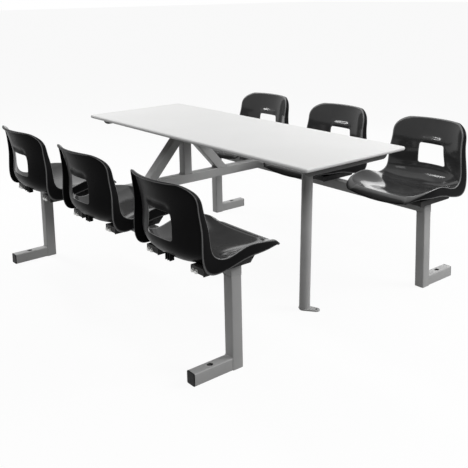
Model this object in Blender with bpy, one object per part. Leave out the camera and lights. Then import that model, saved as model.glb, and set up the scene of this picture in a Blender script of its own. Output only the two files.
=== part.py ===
"""Six-seat canteen unit: a table top and six moulded seats carried by one square-tube frame."""

import math

import bmesh
import bpy
import numpy as np
from mathutils import Vector

# Metres. X runs across the table, Y along it, Z up from the floor.
CLEARANCE = 0.0003              # air between two pieces that touch

# Table top
TABLE_LENGTH = 1.750
TABLE_WIDTH = 0.600
TABLE_HEIGHT = 0.750
TABLE_MIDDLE_Y = -0.017         # the far legs reach out past the top
TABLE_THICKNESS = 0.018
TABLE_CORNER_RADIUS = 0.012     # in plan
TABLE_EDGE_RADIUS = 0.0085      # rounding of the upper and lower arris

# Square tube of the beams and legs
TUBE_SIZE = 0.050
TUBE_WALL = 0.003
TUBE_CORNER = 0.005

# Seat beams and legs
BEAM_SPACING = 1.159            # centre to centre, across the table
BEAM_UNDERSIDE = 0.374
NEAR_LEG_BEYOND = 0.133         # leg centre beyond the middle of the end seat
FAR_LEG_BEYOND = 0.252
FOOT_REACH = 0.179              # beyond the outer face of the upright, end cap included
FOOT_WIDTH = 0.047
FOOT_HOLE_DIAMETER = 0.025      # access hole in the upper wall
FOOT_BOLT_DIAMETER = 0.012      # bolt hole in the lower wall, under the access hole
FOOT_HOLE_REACH = 0.0905        # hole centre beyond the outer face of the upright
CAP_HEAD = 0.004
CAP_SPIGOT = 0.014

# Centre support
CROSS_BEAM_OFFSET = 0.0665      # from halfway between the middle and the far seat
CROSS_BEAM_RISE = 0.027         # its underside above that of the seat beams
STRUT_SIZE = 0.050
STRUT_BASE_X = 0.230            # strut axis on top of the cross beam
STRUT_HEAD_DROP = 0.051         # strut axis at the king post, below the top
HEAD_PLATE_LENGTH = 0.180
HEAD_PLATE_WIDTH = 0.110
PLATE_THICKNESS = 0.005
PLATE_CORNER = 0.008

# Prop leg under the near end
PROP_DIAMETER = 0.050
PROP_FOOT_SIDE = -0.024         # foot and head from the middle of the table
PROP_HEAD_SIDE = 0.0035
PROP_FOOT_INSET = 0.3025        # foot and head from the near end of the top
PROP_HEAD_INSET = 0.3045
PROP_PLATE_SIZE = 0.110
LUG_REACH = 0.055               # tube centre to hole centre
LUG_TURN = math.radians(27.0)   # from straight along the table towards the right
LUG_TIP_RADIUS = 0.017
LUG_HOLE_DIAMETER = 0.012
LUG_THICKNESS = 0.006

# Bearers screwed under the top
BEARER_LENGTH = 0.500
BEARER_DROP = 0.036
BEARER_DEPTH = 0.045
BEARER_WALL = 0.004
BEARER_END_RADIUS = 0.031
BEARER_INSET = 0.060            # outer face from the end of the top

# Seats
SEAT_PITCH = 0.632
SHELL_THICKNESS = 0.004
SIDE_ROLL = 0.007               # roll between the seat face and the skirt
CORNER_ROLL = 0.022             # the same at the front corners
FRONT_ROLL = 0.036              # the same in the middle of the front edge
HOLE_TOP = 0.1934               # heights here are above the brackets
HOLE_BOTTOM = 0.0905
HOLE_TOP_HALF = 0.073
HOLE_BOTTOM_HALF = 0.081
HOLE_CORNER = 0.010
BRACKET_INNER = 0.110           # from the seat's middle
BRACKET_WIDTH = 0.0795
BRACKET_HEIGHT = 0.029
BRACKET_WALL = 0.003
BRACKET_LENGTH = 0.241
BRACKET_CHAMFER = 0.025
BRACKET_REAR_LEFT = 0.172       # rear end behind the beam's middle, left row
BRACKET_REAR_RIGHT = 0.144      # right row, where the brackets are turned end for end
PAD_WIDTH = 0.060
PAD_LENGTH = 0.030
PAD_FORWARD = (-0.095, 0.0285)

# Seat shell from the top of the back to the front of the seat, forward of the beam's
# middle and above the brackets. Each knot gives the middle line (forward, height),
# the crest of the rim and the free edge of the skirt (forward, side, height).
SHELL_KNOTS = (
    # upper edge and upper corner of the back
    ((-0.2695, 0.3115), (-0.239, 0.1425, 0.3115), (-0.253, 0.146, 0.3165)),
    ((-0.261, 0.287), (-0.2045, 0.191, 0.286), (-0.2225, 0.2005, 0.293)),
    # straight part of the back, above and at the handle hole
    ((-0.2415, 0.227), (-0.181, 0.2065, 0.225), (-0.2055, 0.2185, 0.226)),
    ((-0.2315, 0.145), (-0.166, 0.2165, 0.140), (-0.1995, 0.2275, 0.138)),
    # bend from the back into the seat
    ((-0.228, 0.060), (-0.153, 0.2225, 0.059), (-0.198, 0.231, 0.030)),
    ((-0.184, 0.010), (-0.1095, 0.226, 0.0355), (-0.163, 0.232, -0.0105)),
    # seat, rising to the front
    ((-0.0655, 0.0045), (-0.011, 0.229, 0.057), (-0.021, 0.235, 0.011)),
    ((0.063, 0.0125), (0.088, 0.226, 0.054), (0.0935, 0.233, 0.0215)),
    # front corner and front edge
    ((0.1275, 0.021), (0.145, 0.194, 0.0385), (0.172, 0.2095, 0.0195)),
    ((0.157, 0.023), (0.156, 0.160, 0.0265), (0.1935, 0.1755, 0.003)),
)
TOP_SKIRT_MIDDLE = (-0.2855, 0.0, 0.3165)
FRONT_SKIRT_MIDDLE = (0.1945, 0.0, -0.0145)
BACK_BOW = 2.1                  # power of the sideways curve of the back
SEAT_BOW = 3.2                  # power of the sideways curve of the seat
BEND_KNOT = 4.5                 # knot where the back turns into the seat
FRONT_KNOT = 7                  # knot where the rim's roll starts to widen
KNOT_STEPS = 2                  # rows of facets from knot to knot
ACROSS = (0.0, 0.3, 0.57, 0.8, 1.0)    # columns of facets, middle to crest

BEAM_X = BEAM_SPACING / 2
BEAM_TOP = BEAM_UNDERSIDE + TUBE_SIZE
TABLE_UNDERSIDE = TABLE_HEIGHT - TABLE_THICKNESS
TABLE_NEAR_END = TABLE_MIDDLE_Y - TABLE_LENGTH / 2
CROSS_BEAM_UNDERSIDE = BEAM_UNDERSIDE + CROSS_BEAM_RISE
CROSS_BEAM_TOP = CROSS_BEAM_UNDERSIDE + TUBE_SIZE
CROSS_BEAM_Y = TABLE_MIDDLE_Y + SEAT_PITCH / 2 + CROSS_BEAM_OFFSET
NEAR_LEG_Y = TABLE_MIDDLE_Y - SEAT_PITCH - NEAR_LEG_BEYOND
FAR_LEG_Y = TABLE_MIDDLE_Y + SEAT_PITCH + FAR_LEG_BEYOND
BRACKET_TOP = BEAM_TOP + CLEARANCE + BRACKET_HEIGHT
PROP_FOOT = (PROP_FOOT_SIDE, TABLE_NEAR_END + PROP_FOOT_INSET)
PROP_HEAD = (PROP_HEAD_SIDE, TABLE_NEAR_END + PROP_HEAD_INSET)

SIDES = (("left", -1), ("right", 1))
ENDS = (("near", NEAR_LEG_Y), ("far", FAR_LEG_Y))
PLACES = (("near", -1), ("middle", 0), ("far", 1))


def clear_scene():
    """Remove whatever the scene starts with."""
    for item in list(bpy.data.objects):
        bpy.data.objects.remove(item, do_unlink=True)


def make_material(name, colour, roughness, metallic):
    """Return a plain surface of one colour."""
    material = bpy.data.materials.new(name)
    material.use_nodes = True
    shader = material.node_tree.nodes["Principled BSDF"]
    shader.inputs["Base Color"].default_value = (*colour, 1.0)
    shader.inputs["Roughness"].default_value = roughness
    shader.inputs["Metallic"].default_value = metallic
    return material


def make_mesh(name, vertices, faces):
    """Return a mesh of triangles whose faces look outwards."""
    mesh = bpy.data.meshes.new(name)
    mesh.from_pydata([tuple(map(float, point)) for point in vertices], [], faces)
    shape = bmesh.new()
    shape.from_mesh(mesh)
    bmesh.ops.recalc_face_normals(shape, faces=shape.faces)
    bmesh.ops.triangulate(shape, faces=shape.faces)
    shape.to_mesh(mesh)
    shape.free()
    mesh.shade_smooth()
    mesh.set_sharp_from_angle(angle=math.radians(35.0))
    return mesh


def place(name, mesh, material, location=(0.0, 0.0, 0.0), turn=0.0):
    """Put a named object into the scene."""
    item = bpy.data.objects.new(name, mesh)
    item.location = location
    item.rotation_euler = (0.0, 0.0, turn)
    if not mesh.materials:
        mesh.materials.append(material)
    bpy.context.scene.collection.objects.link(item)
    return item


def combine(mesh, tool, operation):
    """Return the mesh cut by the tool mesh, or joined with it."""
    body = bpy.data.objects.new("body", mesh)
    helper = bpy.data.objects.new("helper", tool)
    for item in (body, helper):
        bpy.context.scene.collection.objects.link(item)
    step = body.modifiers.new("step", "BOOLEAN")
    step.operation = operation
    step.solver = "EXACT"
    step.object = helper
    graph = bpy.context.evaluated_depsgraph_get()
    result = bpy.data.meshes.new_from_object(body.evaluated_get(graph))
    result.name = mesh.name
    for item in (body, helper):
        bpy.data.objects.remove(item, do_unlink=True)
    return result


def rounded_rectangle(width, height, radius, steps=2):
    """Return the outline of a rectangle with rounded corners, anticlockwise."""
    points = []
    corners = ((1, 1, 0), (-1, 1, 90), (-1, -1, 180), (1, -1, 270))
    for sign_u, sign_v, start in corners:
        for step in range(steps + 1):
            angle = math.radians(start + 90 * step / steps)
            u = sign_u * (width / 2 - radius) + radius * math.cos(angle)
            v = sign_v * (height / 2 - radius) + radius * math.sin(angle)
            points.append((u, v))
    return points


def circle(radius, steps, centre=(0.0, 0.0)):
    """Return the outline of a circle, anticlockwise."""
    angles = [2 * math.pi * step / steps for step in range(steps)]
    return [(centre[0] + radius * math.cos(a), centre[1] + radius * math.sin(a)) for a in angles]


def ring_faces(first, second, count):
    """Return the faces between two closed loops of equal length."""
    faces = []
    for i in range(count):
        j = (i + 1) % count
        faces.append((first + i, first + j, second + j, second + i))
    return faces


def stack(loops):
    """Return the solid through a pile of closed loops, closed by its first and last loop."""
    count = len(loops[0])
    vertices = [point for loop in loops for point in loop]
    faces = [tuple(range(count)), tuple(range(len(vertices) - count, len(vertices)))]
    for level in range(len(loops) - 1):
        faces += ring_faces(level * count, (level + 1) * count, count)
    return vertices, faces


def flat_solid(outline, low, high):
    """Return a plate of the given outline between two heights."""
    return stack([[(u, v, low) for u, v in outline], [(u, v, high) for u, v in outline]])


def cut_loop(outline, start, axis, across, along, plane_point, plane_normal):
    """Return an outline carried along an axis until it meets a plane."""
    loop = []
    for u, v in outline:
        origin = start + across * u + along * v
        travel = plane_normal.dot(plane_point - origin) / plane_normal.dot(axis)
        loop.append(origin + axis * travel)
    return loop


def hollow_tube(outer, inner, start, end, across, normals=None, floor=0.0):
    """Return a tube between two points, cut by a plane at each end.

    A floor thickness closes the tube at its start.
    """
    start, end, across = Vector(start), Vector(end), Vector(across)
    axis = (end - start).normalized()
    along = axis.cross(across)
    first, last = normals or (axis, axis)
    first, last = Vector(first), Vector(last)
    inner_start = start + axis * floor
    loops = [
        cut_loop(inner, start, axis, across, along, inner_start, first),
        cut_loop(inner, start, axis, across, along, end, last),
        cut_loop(outer, start, axis, across, along, end, last),
        cut_loop(outer, start, axis, across, along, start, first),
    ]
    if floor:
        return stack(loops)
    count = len(outer)
    vertices = [point for loop in loops for point in loop]
    faces = []
    for level in range(4):
        faces += ring_faces(level * count, (level + 1) % 4 * count, count)
    return vertices, faces


def square_tube(width, height, start, end, across, normals=None, floor=0.0):
    """Return a square tube with rounded corners."""
    outer = rounded_rectangle(width, height, TUBE_CORNER)
    inner = rounded_rectangle(width - 2 * TUBE_WALL, height - 2 * TUBE_WALL, TUBE_CORNER - TUBE_WALL)
    return hollow_tube(outer, inner, start, end, across, normals, floor)


def plug(width, height):
    """Return a tube's end plug: a head as large as the tube and a spigot inside it, along +X."""
    head = rounded_rectangle(width, height, TUBE_CORNER)
    gap = 2 * (TUBE_WALL + CLEARANCE)
    spigot = rounded_rectangle(width - gap, height - gap, TUBE_CORNER - TUBE_WALL)
    loops = [(head, CAP_HEAD), (head, 0.0), (spigot, 0.0), (spigot, -CAP_SPIGOT)]
    return stack([[(x, u, v) for u, v in outline] for outline, x in loops])


def table_top(material):
    """Add the rectangular board with its rounded edge."""
    angles = [math.radians(angle) for angle in (0, 30, 60, 90)]
    radius = min(TABLE_EDGE_RADIUS, TABLE_THICKNESS / 2 - CLEARANCE)
    insets = [radius * (1 - math.sin(angle)) for angle in angles]
    rises = [radius * (1 - math.cos(angle)) for angle in angles]
    levels = [(inset, TABLE_UNDERSIDE + rise) for inset, rise in zip(insets, rises)]
    levels += [(inset, TABLE_HEIGHT - rise) for inset, rise in zip(insets[::-1], rises[::-1])]
    loops = []
    for inset, height in levels:
        outline = rounded_rectangle(
            TABLE_WIDTH - 2 * inset, TABLE_LENGTH - 2 * inset, TABLE_CORNER_RADIUS - inset, 5)
        loops.append([(u, v + TABLE_MIDDLE_Y, height) for u, v in outline])
    place("table_top", make_mesh("table_top", *stack(loops)), material)


def bearers(material):
    """Add the two angle bearers, each with rounded lower ends."""
    half = BEARER_LENGTH / 2
    top = TABLE_UNDERSIDE - CLEARANCE
    bottom = top - BEARER_DROP
    radius = min(BEARER_END_RADIUS, BEARER_DROP - 1.1 * BEARER_WALL)
    web = [(half, top), (-half, top)]
    for sign, start in ((-1, 180), (1, 270)):
        for step in range(6):
            angle = math.radians(start + 90 * step / 5)
            web.append((sign * (half - radius) + radius * math.cos(angle),
                        bottom + radius * (1 + math.sin(angle))))
    inner = [(u, min(v, top - BEARER_WALL)) for u, v in web]
    for name, sign in (("near", -1), ("far", 1)):
        face = TABLE_MIDDLE_Y + sign * (TABLE_LENGTH / 2 - BEARER_INSET)
        back = face - sign * BEARER_WALL
        edge = face - sign * BEARER_DEPTH
        count = len(web)
        vertices = [(u, face, v) for u, v in web] + [(u, back, v) for u, v in inner]
        vertices += [(half, edge, top), (-half, edge, top)]
        vertices += [(half, edge, top - BEARER_WALL), (-half, edge, top - BEARER_WALL)]
        rear_right, rear_left, low_right, low_left = range(2 * count, 2 * count + 4)
        faces = [tuple(range(count)), tuple(range(count, 2 * count))]
        faces += [(i, i + 1, count + i + 1, count + i) for i in range(1, count - 1)]
        faces += [(count - 1, 0, count, 2 * count - 1)]
        faces += [(0, 1, rear_left, rear_right), (count, count + 1, low_left, low_right)]
        faces += [(rear_right, rear_left, low_left, low_right)]
        faces += [(0, rear_right, low_right, count), (1, count + 1, low_left, rear_left)]
        place(f"bearer_{name}", make_mesh("bearer", vertices, faces), material)


def prop_leg(material):
    """Add the leaning round leg with its plate under the top and its lug on the floor."""
    plate_low = TABLE_UNDERSIDE - CLEARANCE - PLATE_THICKNESS
    outline = rounded_rectangle(PROP_PLATE_SIZE, PROP_PLATE_SIZE, PLATE_CORNER)
    outline = [(u + PROP_HEAD[0], v + PROP_HEAD[1]) for u, v in outline]
    plate = flat_solid(outline, plate_low, plate_low + PLATE_THICKNESS)
    place("prop_leg_top_plate", make_mesh("prop_leg_top_plate", *plate), material)

    outer = circle(PROP_DIAMETER / 2, 28)
    inner = circle(PROP_DIAMETER / 2 - TUBE_WALL, 28)
    start = (*PROP_FOOT, LUG_THICKNESS + CLEARANCE)
    end = (*PROP_HEAD, plate_low - CLEARANCE)
    level = (0.0, 0.0, 1.0)
    tube = hollow_tube(outer, inner, start, end, (1.0, 0.0, 0.0), (level, level))
    place("prop_leg_tube", make_mesh("prop_leg_tube", *tube), material)

    radius = PROP_DIAMETER / 2
    lean = math.asin((radius - LUG_TIP_RADIUS) / LUG_REACH)
    outline = []
    for centre, size, first, sweep in (
            (0.0, radius, math.pi / 2 - lean, math.pi + 2 * lean),
            (LUG_REACH, LUG_TIP_RADIUS, -math.pi / 2 + lean, math.pi - 2 * lean)):
        for step in range(11):
            angle = first + sweep * step / 10
            outline.append((centre + size * math.cos(angle), size * math.sin(angle)))
    lug = make_mesh("prop_leg_floor_lug", *flat_solid(outline, 0.0, LUG_THICKNESS))
    hole = circle(LUG_HOLE_DIAMETER / 2, 16, (LUG_REACH, 0.0))
    tool = make_mesh("hole", *flat_solid(hole, -LUG_THICKNESS, 2 * LUG_THICKNESS))
    lug = combine(lug, tool, "DIFFERENCE")
    place("prop_leg_floor_lug", lug, material, (*PROP_FOOT, 0.0), LUG_TURN - math.pi / 2)


def centre_support(material):
    """Add the cross beam with the king post, its two struts and the plate under the top."""
    reach = BEAM_X - TUBE_SIZE / 2 - CLEARANCE
    middle = CROSS_BEAM_UNDERSIDE + TUBE_SIZE / 2
    ends = [(x, CROSS_BEAM_Y, middle) for x in (-reach, reach)]
    beam = square_tube(TUBE_SIZE, TUBE_SIZE, *ends, (0.0, 1.0, 0.0))
    place("cross_beam", make_mesh("cross_beam", *beam), material)

    base = CROSS_BEAM_TOP + CLEARANCE
    plate_low = TABLE_UNDERSIDE - CLEARANCE - PLATE_THICKNESS
    ends = [(0.0, CROSS_BEAM_Y, z) for z in (base, plate_low - CLEARANCE)]
    post = square_tube(TUBE_SIZE, TUBE_SIZE, *ends, (1.0, 0.0, 0.0))
    place("king_post", make_mesh("king_post", *post), material)

    outline = rounded_rectangle(HEAD_PLATE_LENGTH, HEAD_PLATE_WIDTH, PLATE_CORNER)
    outline = [(u, v + CROSS_BEAM_Y) for u, v in outline]
    plate = flat_solid(outline, plate_low, plate_low + PLATE_THICKNESS)
    place("post_head_plate", make_mesh("post_head_plate", *plate), material)

    side = TUBE_SIZE / 2 + CLEARANCE
    head = TABLE_UNDERSIDE - STRUT_HEAD_DROP
    cut_planes = ((0.0, 0.0, 1.0), (1.0, 0.0, 0.0))
    for name, sign in SIDES:
        ends = [(sign * x, CROSS_BEAM_Y, z) for x, z in ((STRUT_BASE_X, base), (side, head))]
        strut = square_tube(STRUT_SIZE, STRUT_SIZE, *ends, (0.0, 1.0, 0.0), cut_planes)
        place(f"strut_{name}", make_mesh("strut", *strut), material)


def seat_beams(material):
    """Add the two beams that carry the seats, with painted plugs closing their ends."""
    middle = BEAM_UNDERSIDE + TUBE_SIZE / 2
    near = NEAR_LEG_Y - TUBE_SIZE / 2 + CAP_HEAD + CLEARANCE
    far = FAR_LEG_Y + TUBE_SIZE / 2 - CAP_HEAD - CLEARANCE
    cap = make_mesh("beam_end_cap", *plug(TUBE_SIZE, TUBE_SIZE))
    for name, sign in SIDES:
        x = sign * BEAM_X
        tube = square_tube(TUBE_SIZE, TUBE_SIZE, (x, near, middle), (x, far, middle), (1.0, 0.0, 0.0))
        place(f"seat_beam_{name}", make_mesh("seat_beam", *tube), material)
        for end, y, turn in (("near", near - CLEARANCE, -math.pi / 2), ("far", far + CLEARANCE, math.pi / 2)):
            place(f"beam_end_cap_{name}_{end}", cap, material, (x, y, middle), turn)


def legs(material, cap_material):
    """Add the four L-shaped legs: an upright, a foot pointing outwards and the foot's end cap."""
    top = BEAM_UNDERSIDE - CLEARANCE
    upright = make_mesh("leg_upright", *square_tube(
        TUBE_SIZE, TUBE_SIZE, (0.0, 0.0, 0.0), (0.0, 0.0, top), (1.0, 0.0, 0.0), None, TUBE_WALL))

    inner_end = TUBE_SIZE / 2 + CLEARANCE
    outer_end = TUBE_SIZE / 2 + FOOT_REACH - CAP_HEAD - CLEARANCE
    middle = TUBE_SIZE / 2
    foot = make_mesh("leg_foot", *square_tube(
        FOOT_WIDTH, TUBE_SIZE, (inner_end, 0.0, middle), (outer_end, 0.0, middle), (0.0, 1.0, 0.0)))
    for diameter, low, high in ((FOOT_HOLE_DIAMETER, middle, 2 * TUBE_SIZE),
                                (FOOT_BOLT_DIAMETER, -TUBE_SIZE, middle)):
        hole = circle(diameter / 2, 20, (TUBE_SIZE / 2 + FOOT_HOLE_REACH, 0.0))
        foot = combine(foot, make_mesh("hole", *flat_solid(hole, low, high)), "DIFFERENCE")
    cap = make_mesh("foot_end_cap", *plug(FOOT_WIDTH, TUBE_SIZE))

    for name, sign in SIDES:
        turn = 0.0 if sign > 0 else math.pi
        for end, y in ENDS:
            x = sign * BEAM_X
            place(f"leg_upright_{name}_{end}", upright, material, (x, y, 0.0))
            place(f"leg_foot_{name}_{end}", foot, material, (x, y, 0.0), turn)
            cap_x = x + sign * (outer_end + CLEARANCE)
            place(f"foot_end_cap_{name}_{end}", cap, cap_material, (cap_x, y, middle), turn)


def along_knots(points, position):
    """Return the place on a smooth curve through the points, one unit from each to the next."""
    index = min(int(position), len(points) - 2)
    t = position - index
    before, after = max(index - 1, 0), min(index + 2, len(points) - 1)
    p0, p1, p2, p3 = (np.array(points[i]) for i in (before, index, index + 1, after))
    bend = 2 * p0 - 5 * p1 + 4 * p2 - p3
    twist = 3 * p1 - p0 - 3 * p2 + p3
    return p1 + 0.5 * t * (p2 - p0 + t * (bend + t * twist))


def shell_stations():
    """Return the positions along the knots where the shell has a row."""
    return [step / KNOT_STEPS for step in range((len(SHELL_KNOTS) - 1) * KNOT_STEPS + 1)]


def row_power(position):
    """Return how flat the shell's cross section is at a position."""
    share = min(max((position - BEND_KNOT) / 2 + 0.5, 0.0), 1.0)
    return BACK_BOW + (SEAT_BOW - BACK_BOW) * share


def roll_radius(position, across):
    """Return the radius of the rim's roll at a position, across the front edge if it lies there."""
    front = len(SHELL_KNOTS) - 1
    if position == front:
        return FRONT_ROLL + (CORNER_ROLL - FRONT_ROLL) * abs(across) ** BACK_BOW
    share = max(position - FRONT_KNOT, 0.0) / (front - FRONT_KNOT)
    return SIDE_ROLL + (CORNER_ROLL - SIDE_ROLL) * share


def shell_grid():
    """Return the seat face, row by row, from one rim crest to the other."""
    across = [-s for s in ACROSS[:0:-1]] + list(ACROSS)
    middles, crests, _ = zip(*SHELL_KNOTS)
    rows = []
    for position in shell_stations():
        middle = along_knots(middles, position)
        crest = along_knots(crests, position)
        row = []
        for s in across:
            bow = abs(s) ** row_power(position)
            forward = middle[0] + (crest[0] - middle[0]) * bow
            height = middle[1] + (crest[2] - middle[1]) * bow
            row.append((forward, crest[1] * s, height))
        rows.append(row)
    return np.array(rows), across


def end_row(middle, corner, across):
    """Return the skirt's edge across the top or the front of the shell."""
    row = []
    for s in across:
        point = np.array(middle) + (corner - np.array(middle)) * abs(s) ** BACK_BOW
        point[1] = corner[1] * s
        row.append(point)
    return row


def skirt_edge(across):
    """Return the skirt's free edge in the order of the rim, starting at the top left."""
    edges = [along_knots(list(zip(*SHELL_KNOTS))[2], position) for position in shell_stations()]
    mirror = np.array((1.0, -1.0, 1.0))
    top = end_row(TOP_SKIRT_MIDDLE, edges[0], across)
    front = end_row(FRONT_SKIRT_MIDDLE, edges[-1], across)
    left = [edge * mirror for edge in edges[1:-1]]
    return np.array(top + edges[1:-1] + front[::-1] + left[::-1])


def rim_loops(grid, across):
    """Return the loops that roll the rim over and run down the skirt."""
    rows, columns = grid.shape[:2]
    order = [(0, c) for c in range(columns)]
    order += [(r, columns - 1) for r in range(1, rows - 1)]
    order += [(rows - 1, c) for c in range(columns - 1, -1, -1)]
    order += [(r, 0) for r in range(rows - 2, 0, -1)]
    crest = np.array([grid[r, c] for r, c in order])
    inside = np.array([grid[min(max(r, 1), rows - 2), min(max(c, 1), columns - 2)] for r, c in order])
    radius = np.array([[roll_radius(r / KNOT_STEPS, across[c])] for r, c in order])
    outward = crest - inside
    outward /= np.linalg.norm(outward, axis=1)[:, None]
    edge = skirt_edge(across)
    down = edge - crest - radius * outward
    down /= np.linalg.norm(down, axis=1)[:, None]
    loops = []
    for angle in (math.pi / 6, math.pi / 3, math.pi / 2):
        loops.append(crest + radius * (outward * math.sin(angle) + down * (1 - math.cos(angle))))
    loops.append(edge)
    return order, loops


def shell_sheet():
    """Return the seat's outer skin as one open sheet: points, faces and its border."""
    grid, across = shell_grid()
    rows, columns = grid.shape[:2]
    order, loops = rim_loops(grid, across)
    points = np.concatenate([grid.reshape(-1, 3)] + loops)
    faces = []
    for r in range(rows - 1):
        for c in range(columns - 1):
            a = r * columns + c
            faces.append((a, a + columns, a + columns + 1, a + 1))
    count = len(order)
    ring = [r * columns + c for r, c in order]
    for level in range(len(loops)):
        start = rows * columns + level * count
        following = list(range(start, start + count))
        for i in range(count):
            j = (i + 1) % count
            faces.append((ring[i], ring[j], following[j], following[i]))
        ring = following
    return points, faces, ring


def sheet_normals(points, faces):
    """Return the mean outward direction at each point of the sheet."""
    normals = np.zeros_like(points)
    for face in faces:
        corner = points[list(face)]
        normal = np.cross(corner[2] - corner[0], corner[3] - corner[1])
        for index in face:
            normals[index] += normal / np.linalg.norm(normal)
    return normals / np.linalg.norm(normals, axis=1)[:, None]


def shell_height(grid, forward, side):
    """Return the height of the seat face at a place on the seat."""
    seat_rows = grid[math.ceil(BEND_KNOT) * KNOT_STEPS:]
    forwards = [np.interp(side, row[:, 1], row[:, 0]) for row in seat_rows]
    heights = [np.interp(side, row[:, 1], row[:, 2]) for row in seat_rows]
    return float(np.interp(forward, forwards, heights))


def pad(grid, forward, side):
    """Return a moulded pad between a bracket and the seat's underside."""
    corners = [(-1, -1), (1, -1), (1, 1), (-1, 1)]
    low, high = [], []
    for u, v in corners:
        x = forward + u * PAD_LENGTH / 2
        y = side + v * PAD_WIDTH / 2
        low.append((x, y, CLEARANCE))
        high.append((x, y, shell_height(grid, x, y) - SHELL_THICKNESS / 2))
    return make_mesh("pad", *stack([low, high]))


def seat_shell():
    """Return the moulded seat: skin, thickness, handle hole and the pads under it."""
    points, faces, border = shell_sheet()
    normals = sheet_normals(points, faces)
    count = len(points)
    solid = np.concatenate([points, points - SHELL_THICKNESS * normals])
    sides = [tuple(index + count for index in reversed(face)) for face in faces]
    for i, first in enumerate(border):
        second = border[(i + 1) % len(border)]
        sides.append((first, second, second + count, first + count))
    shell = make_mesh("seat_shell", solid, faces + sides)

    outline = []
    corners = ((1, HOLE_TOP_HALF, HOLE_TOP, -1, 0), (-1, HOLE_TOP_HALF, HOLE_TOP, -1, 90),
               (-1, HOLE_BOTTOM_HALF, HOLE_BOTTOM, 1, 180), (1, HOLE_BOTTOM_HALF, HOLE_BOTTOM, 1, 270))
    for sign, half, height, inward, start in corners:
        for step in range(4):
            angle = math.radians(start + 30 * step)
            outline.append((sign * (half - HOLE_CORNER) + HOLE_CORNER * math.cos(angle),
                            height + inward * HOLE_CORNER + HOLE_CORNER * math.sin(angle)))
    rear, front = TOP_SKIRT_MIDDLE[0], max(crest[0] for _, crest, _ in SHELL_KNOTS[:5])
    loops = [[(x, u, v) for u, v in outline] for x in (rear, front)]
    shell = combine(shell, make_mesh("hole", *stack(loops)), "DIFFERENCE")

    grid, _ = shell_grid()
    for forward in PAD_FORWARD:
        for sign in (-1, 1):
            side = sign * (BRACKET_INNER + BRACKET_WIDTH / 2)
            shell = combine(shell, pad(grid, forward, side), "UNION")
    return shell


def seat_bracket():
    """Return a channel lying across the beam, open below, with one sloping end."""
    half = BRACKET_WIDTH / 2
    inner = half - BRACKET_WALL
    ceiling = BRACKET_HEIGHT - BRACKET_WALL
    profile = ((-half, 0.0), (-inner, 0.0), (-inner, ceiling), (inner, ceiling),
               (inner, 0.0), (half, 0.0), (half, BRACKET_HEIGHT), (-half, BRACKET_HEIGHT))
    square_end = [(0.0, u, v) for u, v in profile]
    slope = BRACKET_CHAMFER / BRACKET_HEIGHT
    sloping_end = [(BRACKET_LENGTH - slope * (BRACKET_HEIGHT - v), u, v) for u, v in profile]
    return make_mesh("seat_bracket", *stack([square_end, sloping_end]))


def seats(shell_material, bracket_material):
    """Add the six seats, each on two brackets across its beam."""
    shell = seat_shell()
    bracket = seat_bracket()
    base = BEAM_TOP + CLEARANCE
    for name, sign in SIDES:
        turn = 0.0 if sign < 0 else math.pi
        for place_name, step in PLACES:
            y = TABLE_MIDDLE_Y + step * SEAT_PITCH
            location = (sign * BEAM_X, y, BRACKET_TOP)
            place(f"seat_shell_{name}_{place_name}", shell, shell_material, location, turn)
            for number, side in ((1, -1), (2, 1)):
                rear = BRACKET_REAR_LEFT
                if sign > 0:
                    rear = BRACKET_LENGTH - BRACKET_REAR_RIGHT
                location = (sign * BEAM_X - rear, y + side * (BRACKET_INNER + BRACKET_WIDTH / 2), base)
                place(f"seat_bracket_{name}_{place_name}_{number}", bracket, bracket_material, location)


def build():
    """Build the whole unit."""
    clear_scene()
    laminate = make_material("white_laminate", (0.86, 0.86, 0.85), 0.35, 0.0)
    grey_paint = make_material("grey_painted_steel", (0.22, 0.22, 0.22), 0.40, 0.0)
    dark_paint = make_material("dark_painted_steel", (0.035, 0.035, 0.037), 0.45, 0.0)
    cap_plastic = make_material("black_cap_plastic", (0.015, 0.015, 0.015), 0.50, 0.0)
    seat_plastic = make_material("black_seat_plastic", (0.018, 0.018, 0.020), 0.28, 0.0)
    table_top(laminate)
    bearers(dark_paint)
    prop_leg(grey_paint)
    centre_support(grey_paint)
    seat_beams(grey_paint)
    legs(grey_paint, cap_plastic)
    seats(seat_plastic, dark_paint)


build()
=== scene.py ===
"""Looks of a six-seat canteen unit: laminate top, painted tube frame and moulded seats."""

import math

import bmesh
import bpy
import numpy as np
from mathutils import Matrix


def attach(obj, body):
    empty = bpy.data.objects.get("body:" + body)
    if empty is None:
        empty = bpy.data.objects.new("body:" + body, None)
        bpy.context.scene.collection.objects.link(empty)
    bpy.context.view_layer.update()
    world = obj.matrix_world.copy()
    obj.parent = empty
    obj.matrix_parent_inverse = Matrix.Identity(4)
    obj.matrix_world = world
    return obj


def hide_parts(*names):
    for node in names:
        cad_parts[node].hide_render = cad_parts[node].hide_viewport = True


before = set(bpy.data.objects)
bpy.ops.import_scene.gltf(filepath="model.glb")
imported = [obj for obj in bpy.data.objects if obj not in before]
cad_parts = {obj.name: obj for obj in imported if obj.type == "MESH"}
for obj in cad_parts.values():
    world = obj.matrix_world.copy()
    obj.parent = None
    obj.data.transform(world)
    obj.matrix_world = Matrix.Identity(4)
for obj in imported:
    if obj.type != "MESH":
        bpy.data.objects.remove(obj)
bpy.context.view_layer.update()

# Metres. X runs across the table, Y along it, Z up from the floor.
ALONG_X, ALONG_Y, UP, DOWN = (1, 0, 0), (0, 1, 0), (0, 0, 1), (0, 0, -1)
SIDES = (("left", -1), ("right", 1))
PLACES = (("near", -1), ("middle", 0), ("far", 1))
GAP = 0.0003
# Edges that bend by more degrees than these stay sharp.
EDGE_SHARP, BOARD_SHARP, SEAT_SHARP = 38.0, 30.0, 50.0

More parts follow.
